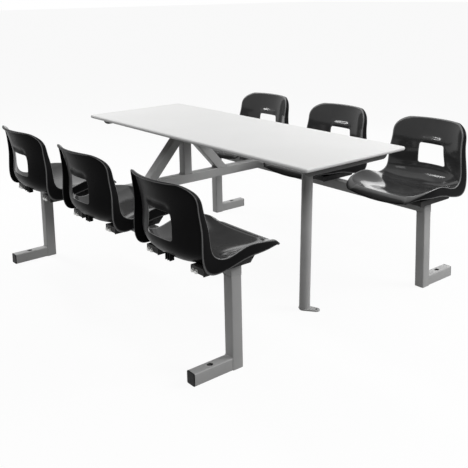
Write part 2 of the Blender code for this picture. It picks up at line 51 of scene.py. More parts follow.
# Table top and the bearers under it.
TABLE_LENGTH, TABLE_WIDTH, TABLE_HEIGHT, TABLE_THICKNESS = 1.750, 0.600, 0.750, 0.018
TABLE_LOW = TABLE_HEIGHT - TABLE_THICKNESS
TABLE_Y = -0.017
TABLE_CORNER, TABLE_EDGE, LAMINATE_STRIPS = 0.012, 0.0086, 5
BEARER_HALF, BEARER_DROP, BEARER_WALL, BEARER_DEPTH = 0.250, 0.036, 0.004, 0.045
BEARER_ROUND, BEARER_INSET, BEARER_CORNER, BEARER_EDGE = 0.031, 0.060, 0.004, 0.0008
BEARER_SCREWS, BEARER_SCREWS_IN = (-0.21, -0.07, 0.07, 0.21), 0.026

# Tube frame: beams, legs with their feet, the support in the middle and the prop leg.
TUBE, TUBE_WALL, TUBE_CORNER, TUBE_STEPS = 0.050, 0.003, 0.005, 6
BEAM_X, BEAM_LOW, BEAM_TOP = 0.5795, 0.374, 0.424
NEAR_LEG_Y, FAR_LEG_Y = -0.782, 0.867
ENDS = (("near", NEAR_LEG_Y), ("far", FAR_LEG_Y))
FOOT_REACH, FOOT_WIDTH, FOOT_HOLE, FOOT_HOLE_REACH = 0.179, 0.047, 0.025, 0.0905
CAP_HEAD, CAP_EDGE, CAP_FLAT = 0.004, 0.0015, 0.55
CROSS_Y, CROSS_LOW = 0.3655, 0.401
STRUT, STRUT_BASE_X, STRUT_HEAD = 0.050, 0.230, 0.681
PLATE_THICKNESS, PLATE_CORNER, PLATE_EDGE = 0.005, 0.008, 0.001
PLATE_LOW = TABLE_LOW - GAP - PLATE_THICKNESS
POST_PLATE, POST_PLATE_SCREWS = (0.180, 0.110), (0.075, 0.042)
PROP_PLATE, PROP_PLATE_SCREWS = (0.110, 0.110), (0.042, 0.042)
PROP_FOOT, PROP_HEAD, PROP_RADIUS = (-0.024, -0.5895), (0.0035, -0.5875), 0.025
LUG_REACH, LUG_TURN, LUG_TIP, LUG_HOLE = 0.055, math.radians(27.0), 0.017, 0.006
LUG_THICKNESS, LUG_EDGE, LUG_STEPS = 0.006, 0.0008, 96

# Fixings: radius and height of the screw heads, with shares of them, and radius of the weld beads.
BEARER_SCREW, PLATE_SCREW = (0.0055, 0.0032), (0.0060, 0.0034)
SCREW_RIM, SCREW_SUNK, SCREW_TIP = 0.35, 0.2, 0.05
TOE_WELD, LEG_WELD, POST_WELD, JOINT_WELD, LUG_WELD = 0.0022, 0.0017, 0.0028, 0.0026, 0.0024
WELD_INSET, TOE_WELD_LOW = 0.001, 0.003
RIPPLE_PITCH, RIPPLE_SWELL, BEAD_STEPS = 0.004, 0.16, 8
BEAD_SKEW, TURNED_SKEW = np.array((0.31, 0.52, 0.79)), np.array((0.21, 0.47, 0.86))

# Folded brackets between beam and seat, with their bolts: (radius, travel) and nut sizes.
SEAT_PITCH = 0.632
BRACKET_INNER, BRACKET_WIDTH, BRACKET_HEIGHT = 0.110, 0.0795, 0.029
BRACKET_LENGTH, BRACKET_CHAMFER, BRACKET_WALL = 0.241, 0.025, 0.003
BRACKET_REAR = {"left": -0.172, "right": -0.097}
FOLD_OUTER, FOLD_INNER = 0.005, 0.002
END_SHEET, END_MIDDLE, END_LOW, END_CORNER, END_EDGE = 0.0028, 0.0022, 0.003, 0.0008, 0.0006
END_CLEAR = 0.0002
CROSS_BOLT_X, CROSS_BOLT_Z, END_BOLT_X, END_BOLT_Z = 0.012, 0.010, 0.0008, 0.0085
END_BOLTS_Y = (0.026, 0.004)
WASHER = ((0.0085, 0.0), (0.0085, 0.0014), (0.004, 0.0014))
BOLT_SHANK = ((0.0038, 0.0), (0.0038, 0.013), (0.003, 0.0142))
WASHER_HEIGHT, NUT_FLATS, CROSS_NUT_HEIGHT, END_NUT_HEIGHT = 0.0014, 0.0125, 0.007, 0.006
NUT_STRAIGHT, NUT_CROWN = 0.8, 0.86
SEAT_LEVEL = BEAM_TOP + GAP + BRACKET_HEIGHT

# Seat shell, from the upper edge of the back to the front edge of the seat: the middle
# line (forward, height), the rim's crest and the skirt's free edge (forward, side, height).
SHELL_MIDDLE = np.array((
    (-0.2695, 0.3115), (-0.261, 0.287), (-0.2415, 0.227), (-0.2315, 0.145), (-0.228, 0.060),
    (-0.184, 0.010), (-0.0655, 0.0045), (0.063, 0.0125), (0.1275, 0.021), (0.157, 0.023)))
SHELL_CREST = np.array((
    (-0.239, 0.1425, 0.3115), (-0.2045, 0.191, 0.286), (-0.181, 0.2065, 0.225),
    (-0.166, 0.2165, 0.140), (-0.153, 0.2225, 0.059), (-0.1095, 0.226, 0.0355),
    (-0.011, 0.229, 0.057), (0.088, 0.226, 0.054), (0.145, 0.194, 0.0385), (0.156, 0.160, 0.0265)))
SHELL_EDGE = np.array((
    (-0.253, 0.146, 0.3165), (-0.2225, 0.2005, 0.293), (-0.2055, 0.2185, 0.226),
    (-0.1995, 0.2275, 0.138), (-0.198, 0.231, 0.030), (-0.163, 0.232, -0.0105),
    (-0.021, 0.235, 0.011), (0.0935, 0.233, 0.0215), (0.172, 0.2095, 0.0195),
    (0.1935, 0.1755, 0.003)))
# Directions in which the crest and the skirt's edge leave the top and reach the front.
SHELL_STARTS = np.array(((0.065, 0.146, -0.016), (0.069, 0.150, 0.0)))
SHELL_ENDS = np.array(((0.003, -0.164, -0.011), (0.002, -0.180, -0.037)))
TOP_EDGE_MIDDLE = np.array((-0.2855, 0.0, 0.3165))
FRONT_EDGE_MIDDLE = np.array((0.1945, 0.0, -0.0145))
# Knots below the top corner, in the back, at its foot, in the bend, the pan and the front corner.
TOP_KNOT, BACK_KNOT, FOOT_KNOT, BEND_KNOT, PAN_KNOT, CORNER_KNOT, LAST_KNOT = 1, 3, 4, 5, 6, 7, 9
SHELL_WALL = 0.004
SIDE_ROLL, CORNER_ROLL, FRONT_ROLL = 0.007, 0.022, 0.036
ROLL_STEPS, SKIRT_STEPS, SKIRT_BULGE = 7, 8, 0.0012
RIM_SMOOTHING, SKIRT_SMOOTHING = 10, 6
BACK_BOW, SEAT_BOW = 2.1, 3.2
CROWN, CROWN_LENGTH = 0.004, 0.05
RIDGE, RIDGE_ABOVE_HOLE, RIDGE_WIDTH, RIDGE_HALF = 0.009, 0.020, 0.014, 0.066
HOLE_TOP, HOLE_BOTTOM, HOLE_CORNER = 0.1934, 0.0905, 0.010
HOLE_TOP_HALF, HOLE_BOTTOM_HALF, HOLE_EVEN, HALVINGS = 0.073, 0.081, 0.3, 40
WINDOW_ABOVE, WINDOW_BELOW, WINDOW_HALF, WINDOW_RINGS = 0.030, 0.026, 0.52, 8
FACE_ROWS, FACE_COLUMNS, BACK_ROWS, SIDE_CROWDING = 128, 81, 70, 1.25
LIP_ANGLES = np.radians((35.0, 70.0, 105.0, 145.0))

# How pale the seat's edges are, from 0 to 1: partly wear where the rim is rubbed, and partly
# painted highlight along the crest, the rolled rim, the free edges and the hole's lip. The two rows
# of shares run over the rolled rim, at the sides and at the front.
SIDE_WEAR_AND_HIGHLIGHT = np.array((1.0, 1.0, 1.0, 1.0, 0.8, 0.4, 0.0))
FRONT_WEAR_AND_HIGHLIGHT = np.array((0.45, 0.45, 0.42, 0.38, 0.32, 0.25, 0.12))
CREST_WEAR_AND_HIGHLIGHT, EDGE_WEAR_AND_HIGHLIGHT, HOLE_WEAR_AND_HIGHLIGHT, LIP_WEAR_AND_HIGHLIGHT = 0.5, 1.0, 0.6, 0.8
# Painted highlight: a pale line a little inside the front edge, where the top of the front roll
# catches the light.
FRONT_LINE, FRONT_LINE_WIDTH, FRONT_LINE_HIGHLIGHT = 0.016, 0.005, 0.5
# Faces beyond these first roll steps take the second seat plastic, whose weak gloss paints shade on
# the skirt and the other side.
GLOSSY_ROLL_STEPS = 5

# Pads on the brackets and ribs under the bend of the seat, in the seat's own frame.
SUNK = 0.6 * SHELL_WALL
PADS_AT, PAD_HALF_LENGTH, PAD_HALF_WIDTH = (-0.095, 0.0285), 0.015, 0.030
RIBS_AT, RIB_HALF = (-0.027, -0.0135, 0.0), 0.0017
RIB_REAR, RIB_FRONT, RIB_LOW = -0.207, -0.186, -0.005

# Studio: each lamp's place, the point it looks at, its size and its power in watts.
LAMPS = (
    ("overhead", (0.3, 0.3, 3.6), (0.0, 0.0, 0.4), (3.0, 3.0), 21.0),
    ("front_right", (2.4, -2.9, 2.3), (0.4, -0.4, 0.3), (1.6, 1.4), 78.0),
    ("front_left", (-2.4, -4.2, 3.4), (0.0, -0.4, 0.3), (1.4, 1.4), 44.0),
    ("left_fill", (-3.6, -1.6, 4.0), (0.0, 0.0, 0.4), (1.4, 1.4), 22.0),
    ("far_row", (-0.9, 2.8, 3.2), (-0.9, 2.8, 0.0), (0.45, 2.4), 70.0),
    ("near_row", (2.7, -1.9, 3.1), (0.0, 0.0, 0.4), (2.2, 0.4), 26.0),
    ("right_panel", (3.4, 2.0, 1.7), (0.0, 0.0, 0.4), (2.0, 1.0), 15.0))
FLOOR_HALF, FLOOR_AS_LIGHT, FLOOR_GLOW, ROOM_AS_LIGHT = 60.0, 0.20, 0.94, 0.08
CAMERA_PLACE = np.array((-2.1739, -2.8565, 1.4269))
CAMERA_HEADING, CAMERA_DIP, CAMERA_ROLL = 0.7053, 0.1678, -0.0139
FOCAL_PIXELS, PICTURE_PIXELS, SENSOR, LENS_SHIFT = 730.86, 468.0, 36.0, (-0.066, -0.257)


# Materials

class Finish:
    """The nodes of a material, or of the room's light, and short ways to add to them."""

    def __init__(self, owner):
        owner.use_nodes = True
        self.owner = owner
        self.nodes, self.links = owner.node_tree.nodes, owner.node_tree.links

    def feed(self, socket, value):
        """Give an input another node's output, or a number or colour of its own."""
        if isinstance(value, bpy.types.NodeSocket):
            self.links.new(value, socket)
        else:
            socket.default_value = value

    def node(self, kind, inputs, **settings):
        """A new node with its settings and what its inputs get."""
        node = self.nodes.new(kind)
        for name, value in settings.items():
            setattr(node, name, value)
        for name, value in inputs.items():
            self.feed(node.inputs[name], value)
        return node

    def noise(self, scale, detail=4.0, roughness=0.55, stretch=(1.0, 1.0, 1.0)):
        """Cloudy values from 0 to 1 on Object coordinates, so many waves to the metre."""
        place = self.node("ShaderNodeTexCoord", {})
        turn = self.node("ShaderNodeMapping", {"Vector": place.outputs["Object"], "Scale": stretch})
        cloud = self.node("ShaderNodeTexNoise", {
            "Vector": turn.outputs["Vector"], "Scale": scale,
            "Detail": detail, "Roughness": roughness})
        return cloud.outputs["Fac"]

    def spread(self, value, low, high, to_low, to_high):
        """The value stretched from one range to another."""
        node = self.node("ShaderNodeMapRange", {
            "Value": value, "From Min": low, "From Max": high, "To Min": to_low, "To Max": to_high})
        return node.outputs["Result"]

    def clouds(self, scale, to_low=0.0, to_high=1.0, low=0.3, high=0.7, detail=4.0, roughness=0.55):
        """Noise stretched from a part of its range to another range."""
        return self.spread(self.noise(scale, detail, roughness), low, high, to_low, to_high)

    def tint(self, share, first, second):
        """A colour between two, by a share from 0 to 1; each is three numbers or another blend."""
        first, second = ((*c, 1.0) if isinstance(c, tuple) else c for c in (first, second))
        ends = {"Factor": share, "A": first, "B": second}
        return self.node("ShaderNodeMix", ends, data_type="RGBA").outputs["Result"]

    def total(self, first, second):
        """The sum of two values, held to the range from 0 to 1."""
        node = self.node("ShaderNodeMath", {0: first, 1: second}, operation="ADD", use_clamp=True)
        return node.outputs["Value"]

    def stored(self, name):
        """A value stored with the points of a piece."""
        return self.node("ShaderNodeAttribute", {}, attribute_name=name).outputs["Fac"]

    def seen_directly(self):
        """One for rays from the camera, reflections and glass, zero for light on the object."""
        path = self.node("ShaderNodeLightPath", {})
        seen = path.outputs["Is Camera Ray"]
        for name in ("Is Glossy Ray", "Is Transmission Ray"):
            seen = self.total(seen, path.outputs[name])
        return seen

    def relief(self, height, strength, distance):
        """Small bumps on a surface."""
        bump = self.node("ShaderNodeBump", {
            "Height": height, "Strength": strength, "Distance": distance})
        self.feed(self.nodes["Principled BSDF"].inputs["Normal"], bump.outputs["Normal"])

    def done(self, colour, rough, level=0.5, metal=0.0):
        """Set the colour, roughness, gloss level and share of metal; returns the material."""
        shader = self.nodes["Principled BSDF"]
        for name, value in (("Base Color", colour), ("Roughness", rough),
                            ("Specular IOR Level", level), ("Metallic", metal)):
            self.feed(shader.inputs[name], value)
        return self.owner


def new_finish(name):
    """An empty surface."""
    return Finish(bpy.data.materials.new(name))


def seat_plastic(name, level, smooth, dull):
    """Charcoal moulded plastic with a fine grain. The seat face is paler, partly as wear and partly
    as painted light; the rim is palest, partly as wear and partly as painted highlight.
    """
    finish = new_finish(name)
    clouds = finish.clouds(9.0, low=0.35)
    plain = finish.tint(clouds, (0.0085, 0.0085, 0.0088), (0.0115, 0.0115, 0.0119))
    # Paler colour of the face side: partly wear, partly painted light on the face, which leaves
    # painted shade on the other side and the skirt.
    rubbed_and_lit = finish.tint(clouds, (0.0460, 0.0460, 0.0466), (0.0550, 0.0550, 0.0556))
    colour = finish.tint(finish.stored("face"), plain, rubbed_and_lit)
    rim = finish.stored("rim")
    # Painted highlight, partly also wear: the rim share turns the colour pale grey along crests,
    # edges and the hole's lip.
    colour = finish.tint(rim, colour, (0.230, 0.230, 0.231))
    worn = finish.spread(rim, 0.0, 1.0, 0.0, 0.14)
    finish.relief(finish.noise(900.0, 2.0), 0.06, 0.0004)
    return finish.done(colour, finish.total(finish.clouds(26.0, smooth, dull), worn), level)


def frame_paint():
    """Grey satin paint on steel tube: orange peel, faint clouds and a few dull patches."""
    finish = new_finish("grey_frame_paint")
    colour = finish.tint(finish.clouds(5.0), (0.40, 0.40, 0.398), (0.47, 0.47, 0.467))
    specks = finish.clouds(140.0, 0.0, 0.55, 0.66, 0.76, 5.0, 0.7)
    colour = finish.tint(specks, colour, (0.20, 0.20, 0.198))
    finish.relief(finish.noise(420.0, 3.0), 0.20, 0.0006)
    return finish.done(colour, finish.clouds(34.0, 0.34, 0.50))


def sheet_paint(name, low, high):
    """Grey satin paint on folded sheet, clouded between two levels."""
    finish = new_finish(name)
    colour = finish.tint(finish.clouds(22.0, low=0.35), (low, low, low), (high, high, high))
    finish.relief(finish.noise(500.0, 3.0), 0.2, 0.0005)
    return finish.done(colour, finish.clouds(50.0, 0.36, 0.55), 0.15)


def cap_plastic():
    """Dull black plastic of the end caps."""
    finish = new_finish("dull_cap_plastic")
    clouds = finish.clouds(40.0, low=0.35)
    colour = finish.tint(clouds, (0.008, 0.008, 0.008), (0.020, 0.020, 0.021))
    finish.relief(finish.noise(1100.0, 2.0), 0.25, 0.0004)
    return finish.done(colour, finish.clouds(90.0, 0.45, 0.62), 0.15)


def laminate():
    """White table laminate: faint clouds, fine grains and a satin stipple."""
    finish = new_finish("white_table_laminate")
    colour = finish.tint(finish.clouds(3.0), (0.845, 0.845, 0.838), (0.875, 0.875, 0.870))
    grains = finish.clouds(700.0, 0.0, 0.35, 0.62, 0.72, 2.0)
    colour = finish.tint(grains, colour, (0.74, 0.74, 0.735))
    finish.relief(finish.noise(1300.0, 2.0), 0.10, 0.0003)
    return finish.done(colour, finish.clouds(12.0, 0.48, 0.60), 0.03)


def edge_band():
    """Pale grey plastic edging of the table, streaked along its length."""
    finish = new_finish("pale_edge_band")
    streaks = finish.noise(30.0, 4.0, 0.6, (1.0, 1.0, 40.0))
    share = finish.spread(streaks, 0.3, 0.7, 0.0, 1.0)
    finish.relief(streaks, 0.08, 0.0004)
    colour = finish.tint(share, (0.66, 0.66, 0.655), (0.74, 0.74, 0.735))
    return finish.done(colour, finish.clouds(60.0, 0.32, 0.45))


def backing():
    """Plain grey-white sheet under the table."""
    finish = new_finish("backing_sheet")
    colour = finish.tint(finish.clouds(14.0, detail=6.0), (0.50, 0.49, 0.47), (0.58, 0.57, 0.55))
    finish.relief(finish.noise(600.0, 3.0), 0.15, 0.0004)
    return finish.done(colour, 0.6)


def zinc():
    """Zinc-plated steel of the bolts and screws."""
    finish = new_finish("zinc_plate")
    colour = finish.tint(finish.clouds(160.0, detail=5.0), (0.44, 0.44, 0.43), (0.60, 0.60, 0.59))
    return finish.done(colour, finish.clouds(260.0, 0.30, 0.48), metal=1.0)


# Shapes

def unit(vectors):
    """Vectors made one long."""
    return vectors / np.linalg.norm(vectors, axis=-1, keepdims=True)


def quarter(count):
    """Angles over a quarter turn."""
    return np.linspace(0.0, math.pi / 2, count)


def on_circle(angles):
    """Points of the circle of radius one."""
    return np.stack([np.cos(angles), np.sin(angles)], -1)


def ring_outline(radius, steps):
    """A circle, anticlockwise."""
    return radius * on_circle(np.arange(steps) * 2 * math.pi / steps)


def rounded_outline(width, height, radius, steps=8):
    """A rectangle whose corners are quarter circles, anticlockwise."""
    angles = np.radians(np.array((0, 90, 180, 270)))[:, None] + quarter(steps + 1)
    corners = np.array(((1, 1), (-1, 1), (-1, -1), (1, -1)))
    middles = corners * (width / 2 - radius, height / 2 - radius)
    return (middles[:, None] + radius * on_circle(angles)).reshape(-1, 2)


def at_level(flat, level):
    """Flat points lifted to a height."""
    return np.column_stack([flat, np.full(len(flat), level)])


def distances(line):
    """Distance of each point of a line from its first, along the line."""
    return np.concatenate([[0.0], np.cumsum(np.linalg.norm(np.diff(line, axis=0), axis=1))])


def strip_faces(rows, columns, closed):
    """Quads of a grid of rows and columns, its columns joined round if closed."""
    count = columns if closed else columns - 1
    r, c = np.meshgrid(np.arange(rows - 1), np.arange(count), indexing="ij")
    here, above, after = r * columns, (r + 1) * columns, (c + 1) % columns
    return np.stack([here + c, here + after, above + after, above + c], -1).reshape(-1, 4)


def grid_body(grid, closed):
    """The points and quads of a grid."""
    return grid.reshape(-1, 3), strip_faces(*grid.shape[:2], closed).tolist()


def loft(rings):
    """A closed body through a pile of rings: the sides are strips, the ends flat faces."""
    rings = np.array(rings)
    rows, columns = rings.shape[:2]
    points, faces = grid_body(rings, True)
    ends = [list(range(columns))[::-1], list(range((rows - 1) * columns, rows * columns))]
    return points, faces + ends


def volume(points, faces):
    """Six times the signed volume, each face taken as a fan from its first corner."""
    fans = [(f[0], f[i], f[i + 1]) for f in faces for i in range(1, len(f) - 1)]
    a, b, c = points[np.array(fans).T]
    return float((a * np.cross(b, c)).sum())


def joined(bodies):
    """Several bodies as one mesh, their point numbers counted on."""
    points, faces, start = [], [], 0
    for body_points, body_faces in bodies:
        points.append(body_points)
        faces += [[index + start for index in face] for face in body_faces]
        start += len(body_points)
    return np.concatenate(points), faces


def together(*bodies):
    """Several closed bodies as one mesh, the faces of each turned outwards."""
    outward = []
    for points, faces in bodies:
        if volume(points, faces) < 0:
            faces = [list(face)[::-1] for face in faces]
        outward.append((points, faces))
    return joined(outward)


def moved(body, origin, turn=1.0):
    """A body turned half round, where its X and Y signs say so, and set at a place."""
    points, faces = body
    return points * turn + origin, faces


def close_seams(mesh):
    """Points in the same place made one, and every face turned outwards."""
    body = bmesh.new()
    body.from_mesh(mesh)
    bmesh.ops.remove_doubles(body, verts=body.verts, dist=1e-6)
    bmesh.ops.recalc_face_normals(body, faces=body.faces)
    body.to_mesh(mesh)
    body.free()


def add_piece(name, body, finish, nodes=(), sharp=EDGE_SHARP, values=None,
              face_finish=None, seal=False):
    """Put a mesh into the scene, on the frame, in place of the named solids."""
    points, faces = body
    mesh = bpy.data.meshes.new(name)
    mesh.from_pydata(points.tolist(), [], [list(face) for face in faces])
    if seal:
        close_seams(mesh)
    for material in finish if isinstance(finish, (list, tuple)) else [finish]:
        mesh.materials.append(material)
    if face_finish is not None:
        mesh.polygons.foreach_set("material_index", np.asarray(face_finish, dtype=np.int32))
    for key, numbers in (values or {}).items():
        layer = mesh.attributes.new(key, "FLOAT", "POINT")
        layer.data.foreach_set("value", np.asarray(numbers, dtype=np.float32))
    mesh.shade_smooth()
    mesh.set_sharp_from_angle(angle=math.radians(sharp))
    mesh.update()
    item = bpy.data.objects.new(name, mesh)
    bpy.context.scene.collection.objects.link(item)
    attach(item, "root")
    if nodes:
        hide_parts(*nodes)


def frame_piece(name, body, finish, *nodes, seal=False):
    """A piece of the painted tube frame."""
    add_piece(name, body, finish, nodes, seal=seal)


def bar(outline, start, end, across, first=None, last=None):
    """A straight bar: the outline carried from start to end, each end cut by a plane's normal."""
    start, end, across = (np.array(v, dtype=float) for v in (start, end, across))
    axis = unit(end - start)
    base = start + outline[:, :1] * across + outline[:, 1:] * np.cross(axis, across)
    rings = []
    for middle, normal in ((start, first), (end, last)):
        normal = axis if normal is None else np.array(normal, dtype=float)
        rings.append(base + ((middle - base) @ normal / (axis @ normal))[:, None] * axis)
    return loft(rings)


def rounded_levels(low, high, edge, count):
    """Inset and height of rings that round the lower and the upper edge by quarter circles."""
    turn = quarter(count)
    inset, rise = edge * (1 - np.sin(turn)), edge * (1 - np.cos(turn))
    return np.concatenate([np.stack([inset, low + rise], -1),
                           np.stack([inset, high - rise], -1)[::-1]])


def plate(outline, low, high, edge):
    """A flat plate: the outline drawn in by a quarter circle along its upper and lower edges."""
    middle = outline.mean(axis=0)
    size = np.abs(outline - middle).max(axis=0)
    return loft([at_level(middle + (outline - middle) * (1 - inset / size), level)
                 for inset, level in rounded_levels(low, high, edge, 5)])


def bead(path, radius, closed=True):
    """A weld bead: a small circle carried along a path, swelling and thinning in ripples."""
    path = np.array(path, dtype=float)
    corners = np.concatenate([path, path[:1]]) if closed else path
    length = distances(corners)
    count = max(int(length[-1] / (RIPPLE_PITCH / 4)), 8)
    along = np.linspace(0.0, length[-1], count, endpoint=not closed)
    middle = np.stack([np.interp(along, length, corners[:, k]) for k in range(3)], -1)
    if closed:
        ahead = np.roll(middle, -1, axis=0) - np.roll(middle, 1, axis=0)
    else:
        ahead = np.gradient(middle, axis=0)
    ahead = unit(ahead)
    side = unit(np.cross(ahead, BEAD_SKEW))
    over = np.cross(ahead, side)
    ring = ring_outline(1.0, BEAD_STEPS)
    swell = radius * (1 + RIPPLE_SWELL * np.sin(2 * math.pi * along / RIPPLE_PITCH))
    around = ring[:, :1] * side[:, None] + ring[:, 1:] * over[:, None]
    points = middle[:, None] + swell[:, None, None] * around
    if not closed:
        return loft(points)
    faces = strip_faces(len(points) + 1, BEAD_STEPS, True) % (len(points) * BEAD_STEPS)
    return points.reshape(-1, 3), faces.tolist()


def square_weld(middle, u, v, radius, half_u=TUBE / 2, half_v=TUBE / 2):
    """A weld bead round a rectangle about a point."""
    u, v = np.array(u) * half_u, np.array(v) * half_v
    return bead(np.array(middle) + np.array((u + v, v - u, -u - v, u - v)), radius)


def turned(profile, middle, axis, steps=24):
    """A turned body: (radius, travel) pairs carried round an axis."""
    axis = unit(np.array(axis, dtype=float))
    side = unit(np.cross(axis, TURNED_SKEW))
    over = np.cross(axis, side)
    ring = ring_outline(1.0, steps)
    flat = ring[:, :1] * side + ring[:, 1:] * over
    return loft([np.array(middle) + radius * flat + travel * axis for radius, travel in profile])


def dome_screw(middle, radius, height):
    """A pan-head screw that looks down: a low dome on a short rim."""
    dome = [(radius * math.cos(t), height * (SCREW_RIM + (1 - SCREW_RIM) * math.sin(t)))
            for t in quarter(6)[:-1]]
    foot, tip = (radius, -height * SCREW_SUNK), (radius * SCREW_TIP, height)
    return turned([foot] + dome + [tip], middle, DOWN)


def hex_nut(middle, axis, height):
    """A hexagon nut whose outer corners are turned off."""
    radius = NUT_FLATS / math.sqrt(3)
    profile = [(radius, 0.0), (radius, NUT_STRAIGHT * height), (NUT_CROWN * radius, height)]
    return turned(profile, middle, axis, 6)


# Table

def table_top(finishes):
    """The board: a rounded rectangle whose edge is drawn in by quarter circles above and below.

    The upper face and the strips next to it are laminate, the edge is a band, and the lower face
    is the backing sheet.
    """
    rings = []
    for inset, level in rounded_levels(TABLE_LOW, TABLE_HEIGHT, TABLE_EDGE, 9):
        outline = rounded_outline(TABLE_WIDTH - 2 * inset, TABLE_LENGTH - 2 * inset,
                                  TABLE_CORNER - inset, 10)
        rings.append(at_level(outline + (0.0, TABLE_Y), level))
    points, faces = loft(rings)
    upper, band, lower = 0, 1, 2
    finish = np.full(len(faces), band)
    finish[-2 - LAMINATE_STRIPS * len(rings[0]):-2] = upper
    finish[-2], finish[-1] = lower, upper
    add_piece("table_board", (points, faces), finishes, ["table_top"],
              BOARD_SHARP, None, finish)


def bearers(paint, screw):
    """Angle bearers: an upright web with quarter-round lower ends and a flange under the top."""
    top = TABLE_LOW - GAP
    right = BEARER_ROUND * on_circle(-quarter(12))
    right = right + (BEARER_HALF - BEARER_ROUND, top - BEARER_DROP + BEARER_ROUND)
    web = np.concatenate([[(-BEARER_HALF, top), (BEARER_HALF, top)], right, right[::-1] * (-1, 1)])
    for name, sign in (("near", -1), ("far", 1)):
        face = TABLE_Y + sign * (TABLE_LENGTH / 2 - BEARER_INSET)
        sheet = loft([np.insert(web, 1, y, axis=1) for y in (face, face - sign * BEARER_WALL)])
        flange = rounded_outline(2 * BEARER_HALF, BEARER_DEPTH - BEARER_WALL, BEARER_CORNER)
        flange = flange + (0.0, face - sign * (BEARER_DEPTH + BEARER_WALL) / 2)
        body = together(sheet, plate(flange, top - BEARER_WALL, top, BEARER_EDGE))
        add_piece(f"bearer_angle_{name}", body, paint, [f"bearer_{name}"])
        line = face - sign * BEARER_SCREWS_IN
        screws = [dome_screw((x, line, top - BEARER_WALL), *BEARER_SCREW) for x in BEARER_SCREWS]
        add_piece(f"bearer_screws_{name}", together(*screws), screw)


# Frame

def tube_outline(width=TUBE, inset=0.0):
    """Square tube with rounded corners, drawn in by so much."""
    return rounded_outline(width - 2 * inset, TUBE - 2 * inset, TUBE_CORNER - inset, TUBE_STEPS)


def seat_beams(paint):
    """Two long tubes along the table with painted plugs in their ends."""
    level = BEAM_LOW + TUBE / 2
    near, far = NEAR_LEG_Y - TUBE / 2 + CAP_HEAD, FAR_LEG_Y + TUBE / 2 - CAP_HEAD
    for name, sign in SIDES:
        x = sign * BEAM_X
        body = bar(tube_outline(), (x, near + GAP, level), (x, far - GAP, level), ALONG_X)
        frame_piece(f"seat_beam_tube_{name}", body, paint, f"seat_beam_{name}")
        for end, y, out in (("near", near, -1), ("far", far, 1)):
            frame_piece(f"beam_plug_{name}_{end}", plug((x, y, level), (0, out, 0), TUBE), paint,
                        f"beam_end_cap_{name}_{end}")


def plug(middle, out, width):
    """End plug: the tube's outline, its front edge rounded, its face closed by a smaller ring."""
    middle, out, up = (np.array(v, dtype=float) for v in (middle, out, UP))
    across = np.cross(out, up)
    steps = [(0.0, 0.0)] + [(CAP_EDGE * (1 - math.cos(t)), CAP_HEAD - CAP_EDGE * (1 - math.sin(t)))
                            for t in quarter(5)]
    rings = []
    for inset, travel in steps:
        outline = tube_outline(width, inset)
        rings.append(middle + outline[:, :1] * across + outline[:, 1:] * up + travel * out)
    rings.append(middle + CAP_FLAT * (rings[-1] - middle - CAP_HEAD * out) + CAP_HEAD * out)
    return together(loft(rings))


def foot_skin(inset):
    """A square tube's skin, set in by so much, with a round hole in its upper wall.

    The sides are rows of the outline. The upper wall's square window shrinks, ring by ring,
    to the hole's circle.
    """
    length = FOOT_REACH - CAP_HEAD - 2 * GAP
    hole_x = FOOT_HOLE_REACH - GAP
    half, top = FOOT_WIDTH / 2 - TUBE_CORNER, TUBE / 2 - inset
    outline = tube_outline(FOOT_WIDTH, inset)
    start = int(np.argmin(np.abs(outline - (half, top)).sum(axis=1)))
    outline = np.roll(outline, -start - 1, axis=0)
    edge = half * np.linspace(-1.0, 1.0, 9)
    stops = np.concatenate([[0.0], hole_x + edge, [length]])[:, None]
    sides = np.stack(np.broadcast_arrays(stops, outline[:, 0], outline[:, 1] + TUBE / 2), -1)
    turn = np.array(((1, 1), (-1, 1), (-1, -1), (1, -1)))
    share = np.linspace(0.0, 1.0, 8, endpoint=False)[None, :, None]
    square = turn[:, None] * (1 - share) + np.roll(turn, -1, axis=0)[:, None] * share
    square = square.reshape(-1, 2)
    patch = np.array([at_level(half * square * (1 - blend) + FOOT_HOLE / 2 * unit(square) * blend
                               + (hole_x, 0.0), TUBE / 2 + top) for blend in (0.0, 0.5, 0.85, 1.0)])
    rear = [(0.0, -half), *((hole_x - half, y) for y in edge), (0.0, half)]
    front = [(length, half), *((hole_x + half, y) for y in edge[::-1]), (length, -half)]
    return sides, patch, [at_level(np.array(deck), TUBE / 2 + top) for deck in (rear, front)]


def foot_tube(x_inner, sign, y):
    """A foot: an outer and an inner skin, joined round the hole and at the tube's two ends."""
    skins = [foot_skin(0.0), foot_skin(TUBE_WALL)]
    parts = []
    for sides, patch, decks in skins:
        parts += [grid_body(sides, False), grid_body(patch, True)]
        parts += [(deck, [list(range(len(deck)))]) for deck in decks]
    (sides, patch, _), (inner_sides, inner_patch, _) = skins
    for pair in ((patch[-1], inner_patch[-1]), (sides[0], inner_sides[0]),
                 (sides[-1], inner_sides[-1])):
        parts.append(grid_body(np.array(pair), True))
    return moved(joined(parts), (x_inner, y, 0.0), (sign, sign, 1))


